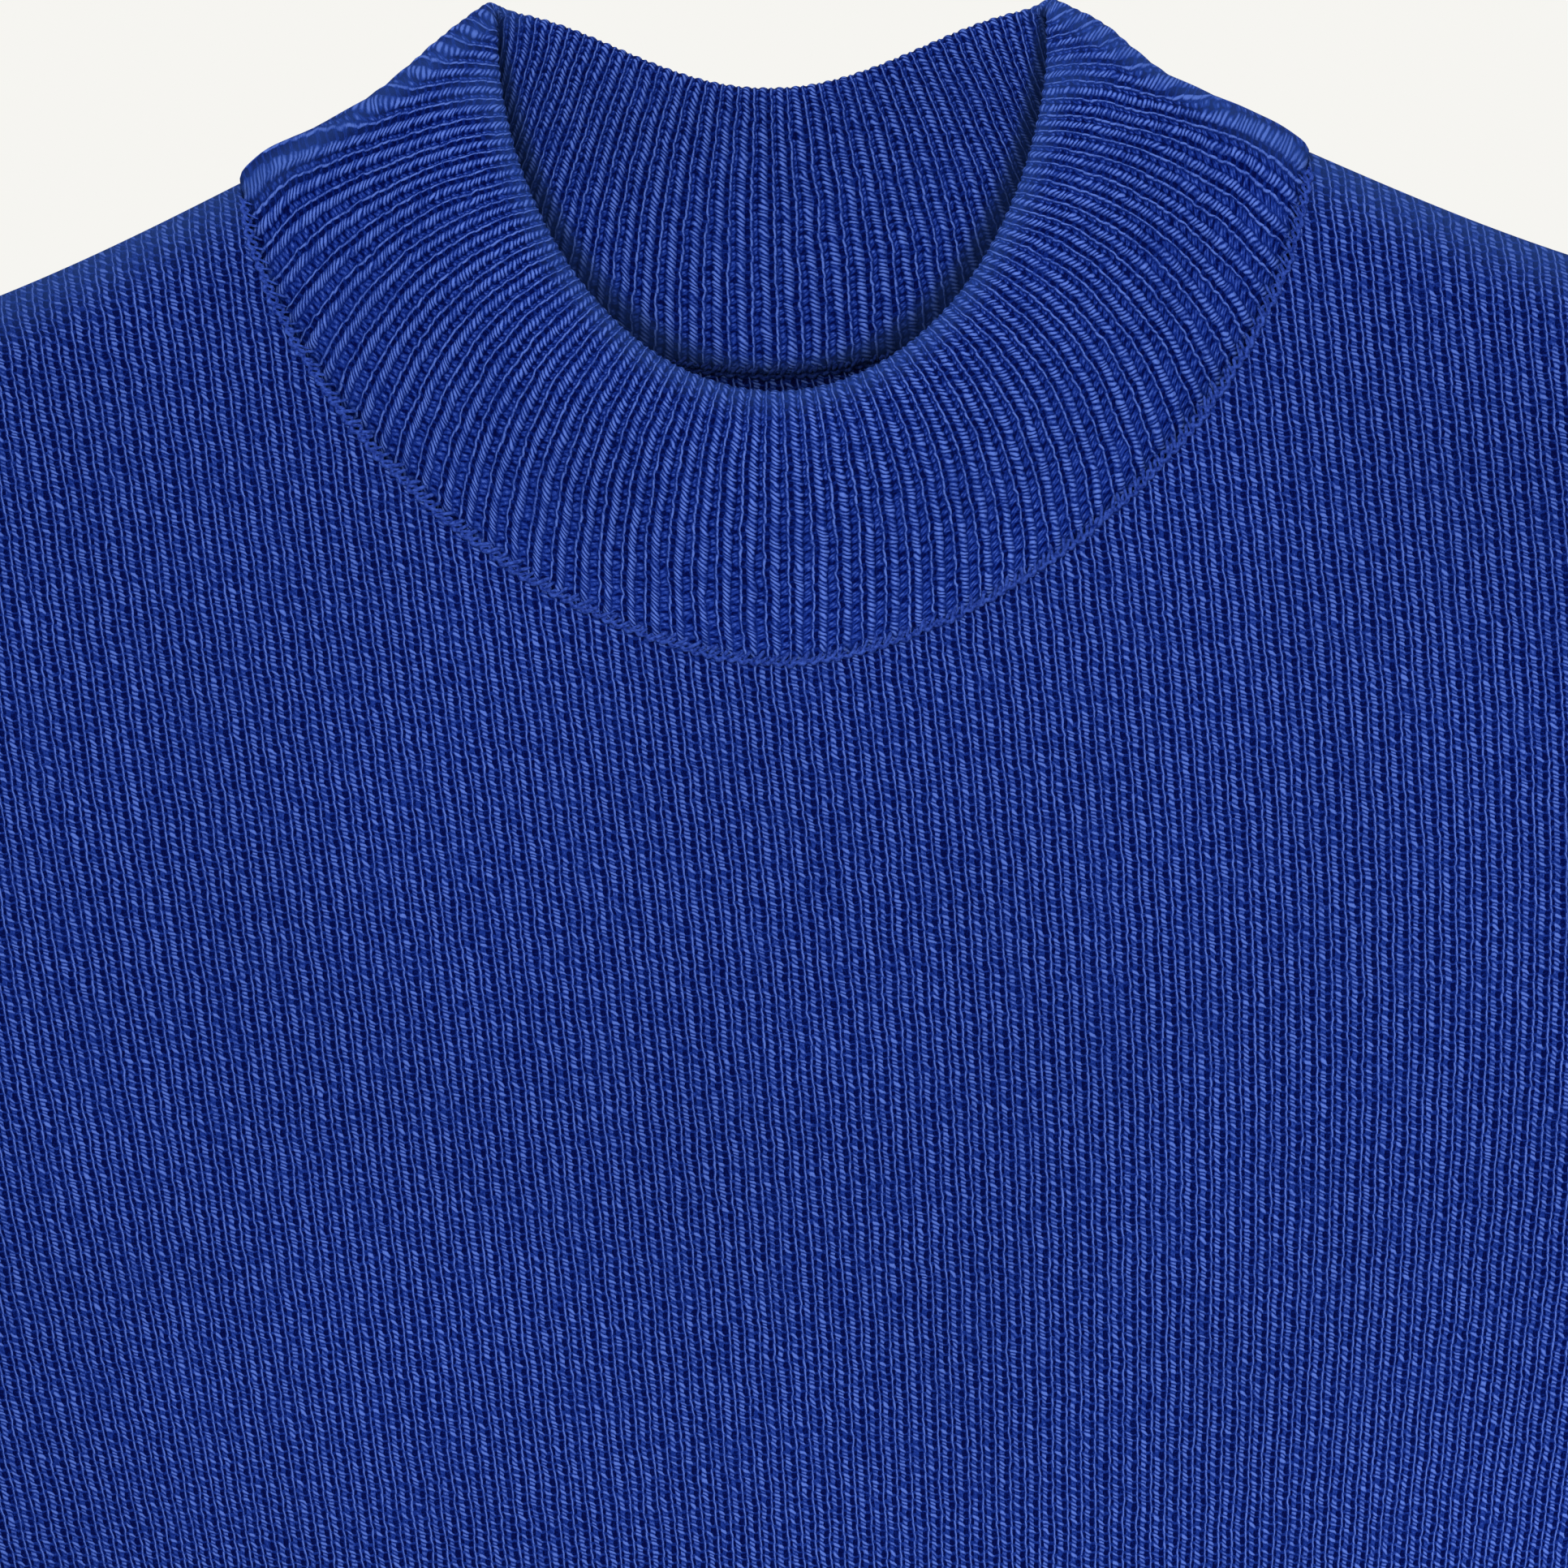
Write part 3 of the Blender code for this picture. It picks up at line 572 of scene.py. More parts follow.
def cloth_top(x, seam_y, gap):
    """Height of a body panel's upper edge at x: neck seam, shoulder line or armhole."""
    armhole = armhole_line()
    inside = np.abs(x)
    neck = seam_y(inside)
    # A seam's gap is square to the seam, so it counts for more where the seam is steep.
    nearby = 0.3 * MM
    slope = (seam_y(inside + nearby) - seam_y(inside - nearby)) / (2.0 * nearby)
    neck = neck - gap * np.sqrt(1.0 + np.minimum(slope, 5.0) ** 2)
    hole = np.interp(inside, armhole[:, 0], armhole[:, 1])
    top = np.where(inside < NECK_HALF, np.minimum(neck, -SHOULDER_START / 3), shoulder_y(x))
    return np.where(inside > SHOULDER_HALF, hole, top)


# Meshes


def crests(s, trough, look):
    """Height from 0 to 1 across one stitch column: a thin line, the rope of the stitch and a trough."""
    q = s / (1.0 - trough)
    line = np.maximum(1.0 - ((q - LINE_AT) / 0.15) ** 2, 0.0)
    rope = np.maximum(1.0 - ((q - look["rope_at"]) / (look["rope_half"] + 0.06)) ** 2, 0.0)
    return np.maximum(0.85 * line, rope)


def ring_normals(loops):
    """Normals of a ring of shape (columns, rows, 3), by the cross product of its two directions."""
    across = np.roll(loops, -1, axis=0) - np.roll(loops, 1, axis=0)
    normal = np.cross(across, np.gradient(loops, axis=1))
    return normal / np.maximum(lengths(normal)[..., None], 1e-12)


def grid_quads(columns, rows, start):
    """Quads of a grid stored column by column from index start, as an array."""
    a = start + np.arange(columns - 1)[:, None] * rows + np.arange(rows - 1)
    return np.stack([a, a + rows, a + rows + 1, a + 1], axis=-1).reshape(-1, 4)


def stitch_values(u, v, trough, tone, fuzz_and_painted_light=0.0):
    """What the material reads at each point: its place in the knit, its brightness with painted light and
    shade, and its fuzz and painted sheen.
    """
    u, v, trough, tone, fuzz_and_painted_light = np.broadcast_arrays(u, v, trough, tone, fuzz_and_painted_light)
    return {"u": u, "v": v, "trough": trough, "tone": tone, "fuzz_and_painted_light": fuzz_and_painted_light}


def placed(name, data):
    """A new object in the scene."""
    thing = bpy.data.objects.new(name, data)
    bpy.context.scene.collection.objects.link(thing)
    return thing


def make_piece(name, points, faces, values, material, wrap_u=None):
    """A mesh object in the frame's place, with stitch coordinates and per-point values."""
    points = points + np.array([0.0, NECK_Y, 0.0])
    mesh = bpy.data.meshes.new(name)
    mesh.from_pydata(points.tolist(), [], [list(map(int, face)) for face in faces])
    corners = np.zeros(len(mesh.loops), dtype=np.int32)
    mesh.loops.foreach_get("vertex_index", corners)
    uv = np.stack([values.pop("u").ravel(), values.pop("v").ravel()], axis=-1)
    loop_uv = uv[corners].astype(np.float32)
    if wrap_u:
        # A face that crosses the ring's end takes its low corners from one turn further on.
        starts = np.zeros(len(mesh.polygons), dtype=np.int32)
        mesh.polygons.foreach_get("loop_start", starts)
        high = np.maximum.reduceat(loop_uv[:, 0], starts)
        sizes = np.diff(np.append(starts, len(corners)))
        high = np.repeat(high, sizes)
        loop_uv[:, 0] += np.where(high - loop_uv[:, 0] > wrap_u / 2, wrap_u, 0.0)
    layer = mesh.uv_layers.new(name="stitches")
    layer.data.foreach_set("uv", loop_uv.ravel())
    for key, value in values.items():
        attribute = mesh.attributes.new(key, "FLOAT", "POINT")
        attribute.data.foreach_set("value", np.asarray(value, dtype=np.float32).ravel())
    mesh.materials.append(material)
    mesh.validate()
    mesh.shade_smooth()
    return placed(name, mesh)


def open_shell(name, upper, step, lower_z, values, material):
    """A closed shell: a fine upper grid over a coarse lower one, which shares the upper's columns.

    The lower grid's points lie under every step-th row of the upper grid, and under its last one.
    """
    columns, count = upper.shape[:2]
    rows = list(range(0, count - 1, step)) + [count - 1]
    lower = upper[:, rows].copy()
    lower[..., 2] = lower_z(lower[..., 0], lower[..., 1])
    start = columns * count
    fewer = len(rows)
    faces = grid_quads(columns, count, 0).tolist()
    faces += grid_quads(columns, fewer, start)[:, ::-1].tolist()
    for row, low_row in ((0, 0), (count - 1, fewer - 1)):
        for i in range(columns - 1):
            a, b = i * count + row, (i + 1) * count + row
            c, d = start + i * fewer + low_row, start + (i + 1) * fewer + low_row
            faces.append((a, c, d, b) if row == 0 else (b, d, c, a))
    for column in (0, columns - 1):
        for k in range(fewer - 1):
            run = [column * count + r for r in range(rows[k], rows[k + 1] + 1)]
            base = start + column * fewer + k
            wall = run + [base + 1, base]
            faces.append(wall if column == 0 else wall[::-1])
    points = np.concatenate([upper.reshape(-1, 3), lower.reshape(-1, 3)])
    both = {
        key: np.concatenate([value.ravel(), value[:, rows].ravel()])
        for key, value in values.items()
    }
    return make_piece(name, points, faces, both, material)


def ring_shell(name, loops, values, material, wrap_u=None):
    """A closed ring: columns run round the ring, and each is a closed section of points."""
    columns, count = loops.shape[:2]
    first = np.arange(columns)[:, None] * count
    second = np.roll(first, -1)
    j = np.arange(count)
    ahead = np.roll(j, -1)
    quads = np.stack([first + j, second + j, second + ahead, first + ahead], axis=-1)
    return make_piece(name, loops.reshape(-1, 3), quads.reshape(-1, 4).tolist(), values, material, wrap_u)


def wale_lean(x, y):
    """How far a stitch column moves to the right for each unit that it goes down."""
    across = x / (155.0 * MM)
    depth = -y / (300.0 * MM)
    grow = np.clip((depth - 0.25) / 0.5, 0.0, 1.2)
    lean = 0.10 - 0.03 * grow - 0.13 * grow * across - 0.02 * across
    lean = lean - 0.12 * grow * np.maximum(across - 0.3, 0.0) ** 2
    lean = lean + 0.2 * np.maximum(-across - 0.7, 0.0) * (1.0 - smoothstep(0.12, 0.3, depth))
    # Lower down, the columns right of the left edge lie nearly upright.
    upright = 0.028 * smoothstep(-150.0 * MM, -110.0 * MM, x)
    upright = upright + 0.022 * ridge(x + 95.0 * MM, 40.0 * MM)
    lean = lean - upright * smoothstep(0.3, 0.7, depth)
    window = np.maximum(1.0 - (x / (CHEST_HALF + 4.0 * MM)) ** 4, 0.0)
    return lean * window * (1.0 - smoothstep(0.95, 1.7, depth))


def wale_paths(labels, levels):
    """x of the stitch columns with these labels, at these heights from the hem up."""
    paths = np.zeros((len(labels), len(levels)))
    middle = int(np.argmin(np.abs(levels - WALE_LEVEL)))
    for steps in (range(middle, len(levels)), range(middle, -1, -1)):
        x = labels.copy()
        last = levels[middle]
        for k in steps:
            x = x - wale_lean(x, (levels[k] + last) / 2) * (levels[k] - last)
            last = levels[k]
            paths[:, k] = x
    # Towards the hem the columns come back to an even spacing.
    kept = smoothstep(-520.0 * MM, -300.0 * MM, levels)
    return labels[:, None] + (paths - labels[:, None]) * kept


def panel_grid(seam_y, gap, labels, rows):
    """Places of a body panel's points: stitch columns from the hem's seam to the upper edge."""
    levels = np.linspace(-BODY_DROP, 0.0, 701)
    # The outermost columns follow the side seams, and draw the ones beside them along.
    paths = wale_paths(labels, levels)
    side = side_distance(np.zeros_like(levels), levels)
    left, right = paths[:1], paths[-1:]
    share = (paths - left) / (right - left)
    paths = paths + (-side - left) * (1.0 - share) ** 6 + (side - right) * share**6
    places = np.zeros((len(labels), len(rows), 2))
    for i, path in enumerate(paths):
        under = levels < cloth_top(path, seam_y, gap)
        last = len(levels) - 1 - int(np.argmax(under[::-1]))
        if last >= len(levels) - 1:
            top = levels[-1]
        else:
            here = cloth_top(path[last : last + 2], seam_y, gap) - levels[last : last + 2]
            here = here[0] / max(here[0] - here[1], 1e-9)
            top = levels[last] + np.clip(here, 0.0, 1.0) * (levels[1] - levels[0])
        y = -BODY_DROP + (top + BODY_DROP) * rows
        places[i, :, 0] = np.interp(y, levels, path)
        places[i, :, 1] = y
    return places


def body_labels(fine_half, fine, coarse):
    """Labels of the mesh columns, from their places in a stitch column inside and outside fine_half."""
    half = int(CHEST_HALF / WALE)
    labels = [-CHEST_HALF]
    for k in range(-half, half):
        marks = fine if abs((k + 0.5) * WALE) < fine_half else coarse
        labels += [(k + mark) * WALE for mark in marks]
    labels += [half * WALE, CHEST_HALF]
    return np.array(labels)


def front_tone_with_painted_light(x, y):
    """Painted light and shade on the front: brightness that stands in for how the light falls over it."""
    px, py = x / MM, y / MM
    tone = np.ones_like(x)
    # Painted light, paler in the two lower corners, past soft diagonal lines.
    left = (px + 150.0) * 0.77 + (py + 235.0) * 0.64
    tone += 0.05 * smoothstep(25.0, -45.0, left) * smoothstep(-160.0, -110.0, px)
    right = (px - 155.0) * -0.56 + (py + 235.0) * 0.83
    tone += 0.10 * smoothstep(30.0, -40.0, right)
    tone += 0.08 * smoothstep(-150.0, -270.0, py)
    # Painted shade in a patch below the middle, at the right near the top and in the lower left; paler
    # towards the right and darker towards the top.
    tone -= 0.06 * ridge(px + 10.0, 60.0) * ridge(py + 215.0, 40.0)
    tone += 0.04 * np.clip(px / 150.0, -1.0, 1.0) - 0.05 * smoothstep(-110.0, -50.0, py)
    tone -= 0.09 * smoothstep(80.0, 140.0, px) * ridge(py + 78.0, 26.0)
    tone -= 0.06 * smoothstep(-110.0, -150.0, px) * smoothstep(-170.0, -230.0, py)
    return PLAIN_TONE * tone


def front_panel(material):
    """The front, its stitch columns leaning as they lie in the photograph."""
    labels = body_labels(FINE_HALF, FINE_MARKS, COARSE_MARKS)
    low = np.linspace(0.0, ROWS_SPLIT, LOW_ROWS)
    rows = np.concatenate([low[:-1], np.linspace(ROWS_SPLIT, 1.0, HIGH_ROWS)])
    places = panel_grid(front_seam_y, SEAM_GAP / 2, labels, rows)
    x, y = places[..., 0], places[..., 1]
    count = labels / WALE
    s = (count - np.floor(count))[:, None]
    depth = WALE_DEPTH * smoothstep(0.0, 2.0 * MM, edge_distance(x, y))
    depth = depth * smoothstep(0.0, 0.01, 1.0 - rows)
    z = front_height(x, y) - depth * (1.0 - crests(s, WALE_TROUGH, PLAIN_LOOK))
    # Painted shade beside the neck seam; a painted sheen with the fuzz along the shoulders' rounded
    # edges.
    beside_seam = ridge(np.maximum(neck_distance(x, y), 0.0), 0.8 * MM)
    tone = front_tone_with_painted_light(x, y) * (1.0 - 0.15 * beside_seam)
    fuzz_and_painted_light = 0.45 * ridge(np.maximum(shoulder_distance(x, y), 0.0), 7.0 * MM)
    values = stitch_values(count[:, None], -y / COURSE, WALE_TROUGH, tone, fuzz_and_painted_light)

    def lower_z(x, y):
        return np.maximum(front_height(x, y) - CLOTH, CLOTH + SEAM_GAP)

    return open_shell("front_knit", at_height(places, z), 14, lower_z, values, material)


def back_panel(material):
    """The back, flat on the surface, with its rounded edges."""
    labels = body_labels(0.0, BACK_MARKS, BACK_MARKS)
    rows = np.linspace(0.0, 1.0, BACK_ROWS)
    # The back reaches just under the band, so no floor shows through the linking line.
    places = panel_grid(back_seam_y, -SEAM_LAP, labels, rows)
    x, y = places[..., 0], places[..., 1]
    z = CLOTH / 2 + CLOTH / 2 * rounding(edge_distance(x, y), BACK_ROUND)
    # The front rim keeps the light from what shows of the back below its own seam.
    shaded = (1.0 - smoothstep(60.0 * MM, 80.0 * MM, np.abs(x))) * smoothstep(-60.0 * MM, -50.0 * MM, y)
    tone = PLAIN_TONE * (1.0 - 0.6 * shaded)
    values = stitch_values((labels / WALE)[:, None], -y / COURSE, WALE_TROUGH, tone)

    def lower_z(x, y):
        return 0.8 * MM * (1.0 - rounding(edge_distance(x, y), BACK_ROUND))

    return open_shell("back_knit", at_height(places, z), 2, lower_z, values, material)


def neckband(material):
    """The folded band: ribs that fan out from the rim to the seam, all round."""
    count = BAND_RIBS * BAND_COLUMNS // 2
    turn = np.linspace(math.pi / 2, -math.pi / 2, 11)
    reach = BAND / 2 / BAND_HEIGHT
    low = np.linspace(0.0, 1.0 - reach, BAND_ROWS)
    heights = np.concatenate([low[:-1], 1.0 - reach * (1.0 - np.cos(turn)), low[:-1][::-1]])
    sides = np.concatenate([np.ones(BAND_ROWS - 1), np.sin(turn), -np.ones(BAND_ROWS - 1)])
    right, right_normal, path = band_middle(np.linspace(0.0, 1.0, count + 1), heights)
    mirror = np.array([-1.0, 1.0, 1.0])
    # Round the ring from the back centre: left half, front centre, right half.
    middle = np.concatenate([right[1:][::-1] * mirror, right[:-1]])
    normal = np.concatenate([right_normal[1:][::-1] * mirror, right_normal[:-1]])
    lean = smoothstep(0.0, PEAK_RISE, middle[..., 1]) * middle[..., 0] / PEAK_HALF
    middle[..., 1] -= PEAK_LEAN * lean
    middle[..., :2] += fold_bulge(middle[..., 0], middle[..., 1])
    # The band thins where it turns down into its seam.
    thin = 1.0 - SEAM_THIN * ridge(heights * BAND_HEIGHT, SEAM_THIN_REACH)
    base = middle + normal * (BAND / 2 * sides * thin)[None, :, None]
    resting = (normal[..., 2] < -0.7) & (sides > 0.5)[None, :]
    base[..., 2] = np.where(resting, 0.0, base[..., 2])
    out = ring_normals(base)
    out = out * np.sign(np.sum(out * normal * sides[None, :, None]))
    # Troughs close up at the rim and open towards the seam.
    u = (np.arange(len(middle)) - count) / BAND_COLUMNS
    share = np.abs(u) / (BAND_RIBS / 2)
    open_seam = np.where(share < 0.5, FRONT_TROUGH, BACK_TROUGH)
    trough = RIM_TROUGH + (open_seam - RIM_TROUGH)[:, None] * smoothstep(0.8, 0.0, heights)[None, :]
    s = (u - np.floor(u))[:, None]
    depth = RIM_RIB_DEPTH + (RIB_DEPTH - RIM_RIB_DEPTH) * smoothstep(1.0, 0.6, heights)[None, :]
    depth = depth * (1.0 - 0.55 * smoothstep(0.93, 1.0, heights)[None, :])
    depth = depth * smoothstep(-0.02, 0.06, heights)[None, :]
    # Where the band turns over its fold, the ribs lie flat along it.
    over_fold = np.sqrt(np.maximum(1.0 - normal[..., 2] ** 2, 0.0))
    depth = np.where(resting, 0.0, depth * (1.0 - FOLD_FLAT * over_fold))
    proud = np.where(resting, 0.0, RIB_PROUD * (1.0 - FOLD_FLAT * over_fold))
    loops = base + out * (proud - depth * (1.0 - crests(s, trough, RIB_LOOK)))[..., None]
    loops[..., 2] = np.maximum(loops[..., 2], 0.0)
    # Rows of stitches are counted on the opened-out band, and round its rim on its surface.
    flat = lengths(np.diff(path, axis=1))
    flat = np.concatenate([flat[1:][::-1], flat[:-1]])
    turning = np.abs(sides[1:] + sides[:-1]) < 2.0
    run = travelled(np.where(turning[None, :], lengths(np.diff(base, axis=1)), flat))
    tone, fuzz_and_painted_light = band_shading(base, share, heights, sides)
    values = stitch_values(u[:, None], -run / BAND_COURSE, trough, tone, fuzz_and_painted_light)
    return ring_shell("neckband_rib", loops, values, material, BAND_RIBS)


def band_shading(base, share, heights, sides):
    """Brightness of the band with painted light and shade, and its painted sheen, at its surface's
    points.
    """
    x, y = base[..., 0], base[..., 1]
    inner = smoothstep(0.0, -0.5, sides)[None, :]
    outer = 1.0 - inner
    front = (1.0 - smoothstep(0.55, 0.62, share))[:, None]
    rim = smoothstep(0.80, 1.0, heights)[None, :]
    middle = 1.0 - smoothstep(45.0 * MM, 85.0 * MM, np.abs(x))
    right_half = smoothstep(-30.0 * MM, 30.0 * MM, x)
    beside_middle = smoothstep(20.0 * MM, 48.0 * MM, np.abs(x))
    # Painted light and shade: the front rim paler on the right than on the left, the outer side paler in
    # the middle and towards the right, the inner side darker in the middle and towards the top.
    tone = RIB_TONE + (0.05 * right_half - 0.02) * rim * front * outer
    tone = tone + 0.06 * middle * outer + (0.07 * beside_middle - 0.04) * inner
    tone = tone + 0.05 * smoothstep(0.0, NECK_HALF, x) * outer
    tone = tone - 0.04 * inner * smoothstep(-20.0 * MM, 10.0 * MM, y)
    # The left of the front lies a little in shade.
    shade = ridge(x + 37.0 * MM, 20.0 * MM) * ridge(y + 58.0 * MM, 18.0 * MM)
    tone = tone - 0.08 * shade * outer
    # The front rim stands over the back's inner side and keeps the light from its edge.
    slope = np.abs(x) / PEAK_HALF
    rim_y = PEAK_RISE - RIM_DEPTH * np.sqrt(np.maximum(1.0 - slope**2, 0.0))
    inside = (y - rim_y) * np.sqrt(np.maximum(1.0 - slope**2, 0.04))
    crescent = inner * (1.0 - front) * (1.0 - smoothstep(2.5 * MM, 8.0 * MM, inside))
    tone = tone - CRESCENT_DARK * crescent
    # Painted shade all along the seam, deepest in the holes between the linked stitches
    seam_run = np.cumsum(lengths(np.diff(base[:, 0], axis=0, prepend=base[:1, 0])))
    holes = 0.5 + 0.5 * np.cos(2.0 * math.pi * seam_run / LINK_PITCH)
    at_seam = ridge(heights * BAND_HEIGHT, HOLE_REACH)[None, :]
    tone = tone * (1.0 - (0.05 + HOLE_SHADE * holes[:, None] ** 2) * at_seam)
    # Painted sheen along the front rim and over the fold, and a paler colour in the crescent's painted
    # shadow
    fuzz_and_painted_light = 0.35 * smoothstep(0.88, 1.0, heights)[None, :] * front * outer
    over_fold = ridge(from_fold(x, y)[0], FOLD_SHEEN_REACH)
    return tone, np.maximum(fuzz_and_painted_light, FOLD_PALE * np.maximum(crescent, over_fold))


def rib_slab(name, corners, ribs, top, bottom, material, fine=8, rows=14):
    """A flat ribbed border between four corners: seam left and right, then edge left and right."""
    seam_left, seam_right, edge_left, edge_right = (np.array(c) for c in corners)
    share = np.linspace(0.0, 1.0, ribs * fine + 1)
    down = np.linspace(0.0, 1.0, rows)
    seam = seam_left + (seam_right - seam_left) * share[:, None]
    edge = edge_left + (edge_right - edge_left) * share[:, None]
    places = edge[:, None] * down[None, ::-1, None] + seam[:, None] * down[None, :, None]
    u = (share * ribs)[:, None]
    length = lengths(seam_left - edge_left)
    rounded = rounding(np.minimum(down, 1.0 - down) * length, END_ROUND)
    sides = np.minimum(share, 1.0 - share)[:, None] * lengths(seam_left - seam_right)
    rounded = rounded * rounding(sides, SIDE_ROUND)
    relief = 1.0 - HEM_RELIEF * (1.0 - crests(u - np.floor(u), RIB_TROUGH, RIB_LOOK))
    z = bottom + HEM_EDGE + (top - bottom - HEM_EDGE) * rounded * relief
    values = stitch_values(u, -down * length / BAND_COURSE, RIB_TROUGH, RIB_TONE)
    return open_shell(name, at_height(places, z), 4, lambda x, y: bottom, values, material)


def sleeve_end():
    """Outer and inner ends of the right cuff's seam, and the directions along and across it."""
    down = direction(WRIST_ANGLE)
    across = np.array([down[1], -down[0]])
    outer = np.array([SHOULDER_HALF, -SHOULDER_DROP]) + direction(SLEEVE_ANGLE) * SLEEVE_LENGTH
    return outer, outer + across * WRIST_WIDTH, down, across


def tube_loop(count, air, margin):
    """One loop of a flattened tube's section: shares across it and heights."""
    turn = np.linspace(0.0, 2.0 * math.pi, 2 * count, endpoint=False)
    level = np.sin(turn)
    middle = CLOTH + (SEAM_GAP + air) / 2
    height = middle + (middle - margin) * np.sign(level) * np.abs(level) ** SLEEVE_ROUND
    return (1.0 - np.cos(turn)) / 2, height


def sleeve_places(part, rows):
    """Places on the flat sleeve: columns at these shares from the outer to the inner edge."""
    wrist_outer, wrist_inner, down, _ = sleeve_end()
    armhole = armhole_line()
    cap = along(armhole, part * line_length(armhole))
    top, underarm = armhole[0], armhole[-1]
    cap_pull = direction(CAP_ANGLE) * CAP_PULL
    outer_edge = curve(top, cap_pull, -down * WRIST_PULL, wrist_outer, rows)
    inner_run = wrist_inner - underarm
    inner_edge = curve(underarm, inner_run / 3, -down * WRIST_PULL / 2, wrist_inner, rows)
    part = part[:, None, None]
    chord = top * (1 - part[:, 0]) + underarm * part[:, 0]
    hollow = (cap - chord)[:, None] * (1.0 - np.linspace(0.0, 1.0, rows)[:, None]) ** 2
    return outer_edge * (1 - part) + inner_edge * part + hollow


def tube_shell(name, walls, values, material, side):
    """A flattened tube with an outer and an inner wall, closed at both ends."""
    # The left one is the right one's mirror image, with its columns in the other order.
    turned = slice(None, None, int(side))
    loops = np.concatenate([walls[0], walls[1][:, ::-1]], axis=1) * np.array([side, 1.0, 1.0])
    values = {
        key: np.concatenate([value, value[:, ::-1]], axis=1)[turned]
        for key, value in values.items()
    }
    name += "_right" if side > 0 else "_left"
    return ring_shell(name, loops[turned], values, material)


def sleeve(side, material):
    """A sleeve: a flattened tube from the armhole seam to the cuff's seam."""
    rows, count = 90, 40
    lap = -SEAM_LAP * np.array([1.0, 0.35])
    walls = []
    for margin in (0.0, CLOTH):
        across, height = tube_loop(count, LOFT, margin)
        places = sleeve_places(across, rows) + lap * np.linspace(1.0, 0.0, rows)[:, None]
        first, last = places[0], places[count]
        width = lengths(first - last)
        middle = (first + last) / 2
        places = middle + (places - middle) * (1.0 - 2.0 * margin / width)[:, None]
        walls.append(at_height(places, height[:, None]))
    u = (across[:, None] - 0.5) * width / WALE
    run = travelled(lengths(np.diff(walls[0], axis=1))).mean(axis=0)
    values = stitch_values(u, run / COURSE, WALE_TROUGH, PLAIN_TONE)
    return tube_shell("sleeve_knit", walls, values, material, side)


def cuff(side, material):
    """A cuff: a flattened tube of ribs at the end of the sleeve."""
    seam_outer, seam_inner, down, across = sleeve_end()
    taper = (WRIST_WIDTH - CUFF_END_WIDTH) / 2
    end_outer = seam_outer + down * CUFF_HEIGHT + across * taper
    end_inner = seam_inner + down * CUFF_HEIGHT - across * taper
    lowering = np.linspace(0.0, 1.0, 16)[:, None]
    per_rib = 8
    count = CUFF_RIBS * per_rib
    share = np.linspace(0.0, 1.0, count + 1)
    share = np.concatenate([share[:-1], share[::-1][:-1]])
    ribs = np.arange(2 * count) / per_rib
    middle = CLOTH + (SEAM_GAP + CUFF_LOFT) / 2
    rounded = rounding(np.minimum(share, 1.0 - share) * WRIST_WIDTH, CUFF_ROUND)
    upper = np.arange(2 * count) < count
    dip = CUFF_DEPTH * (1.0 - crests(ribs - np.floor(ribs), RIB_TROUGH, RIB_LOOK)) * upper
    walls = []
    for margin, dips in ((0.0, dip), (CLOTH, 0.0)):
        z = middle + np.where(upper, 1.0, -1.0) * (middle - margin) * rounded - dips
        inset = margin / WRIST_WIDTH
        part = (inset + share * (1.0 - 2.0 * inset))[:, None]
        start = seam_outer - down * SEAM_LAP + (seam_inner - seam_outer) * part
        end = end_outer + (end_inner - end_outer) * part
        places = start[:, None] * (1.0 - lowering) + end[:, None] * lowering
        walls.append(at_height(places, z[:, None]))
    v = lowering[:, 0] * CUFF_HEIGHT / BAND_COURSE
    values = stitch_values(ribs[:, None], v, RIB_TROUGH, RIB_TONE)
    return tube_shell("cuff_rib", walls, values, material, side)


def yarn_tube(name, paths, radii, tone, material):
    """One mesh of closed six-sided tubes of yarn along these paths."""
    sides = 6
    # Turns and runs are the tubes' own coordinates: round the yarn and along it.
    points, faces, turns, runs = [], [], [], []
    turn = np.arange(sides) * 2.0 * math.pi / sides
    total = 0
    for path, radius in zip(paths, radii):
        ahead = np.gradient(path, axis=0)
        ahead = ahead / lengths(ahead)[:, None]
        across = np.cross(ahead, np.array([0.0, 0.0, 1.0]))
        across = across / lengths(across)[:, None]
        up = np.cross(across, ahead)
        ends = np.ones(len(path))
        ends[0] = ends[-1] = 0.35
        ring = across[:, None] * np.cos(turn)[:, None] + up[:, None] * np.sin(turn)[:, None]
        tube = path[:, None] + ring * (radius * ends)[:, None, None]
        points.append(tube.reshape(-1, 3))
        for i in range(len(path) - 1):
            for j in range(sides):
                a = total + i * sides + j
                b = total + i * sides + (j + 1) % sides
                faces.append((a, b, b + sides, a + sides))
        faces.append(tuple(total + j for j in range(sides))[::-1])
        faces.append(tuple(total + (len(path) - 1) * sides + j for j in range(sides)))
        turns.append(np.tile(turn / 6.28, len(path)))
        runs.append(np.repeat(np.arange(len(path)) * 0.4, sides))
        total += len(path) * sides
    values = stitch_values(np.concatenate(turns), np.concatenate(runs), 0.0, tone)
    return make_piece(name, np.concatenate(points), faces, values, material)


def beside_seam(line, height, distance, out, rise):
    """Points beside a neck seam: distance along it from its centre, and out towards the body.

    Height gives the surface below a point, and line is the seam's right half from its centre.
    """
    run = np.abs(distance)
    nearby = 0.3 * MM
    ahead = along(line, np.minimum(run + nearby, line_length(line)))
    tangent = ahead - along(line, np.maximum(run - nearby, 0.0))
    tangent = tangent / lengths(tangent)[:, None]
    place = along(line, run) + np.stack([tangent[:, 1], -tangent[:, 0]], axis=-1) * out[:, None]
    z = height(place[:, 0], place[:, 1]) + rise
    place[:, 0] = np.where(distance < 0, -place[:, 0], place[:, 0])
    return at_height(place, z)


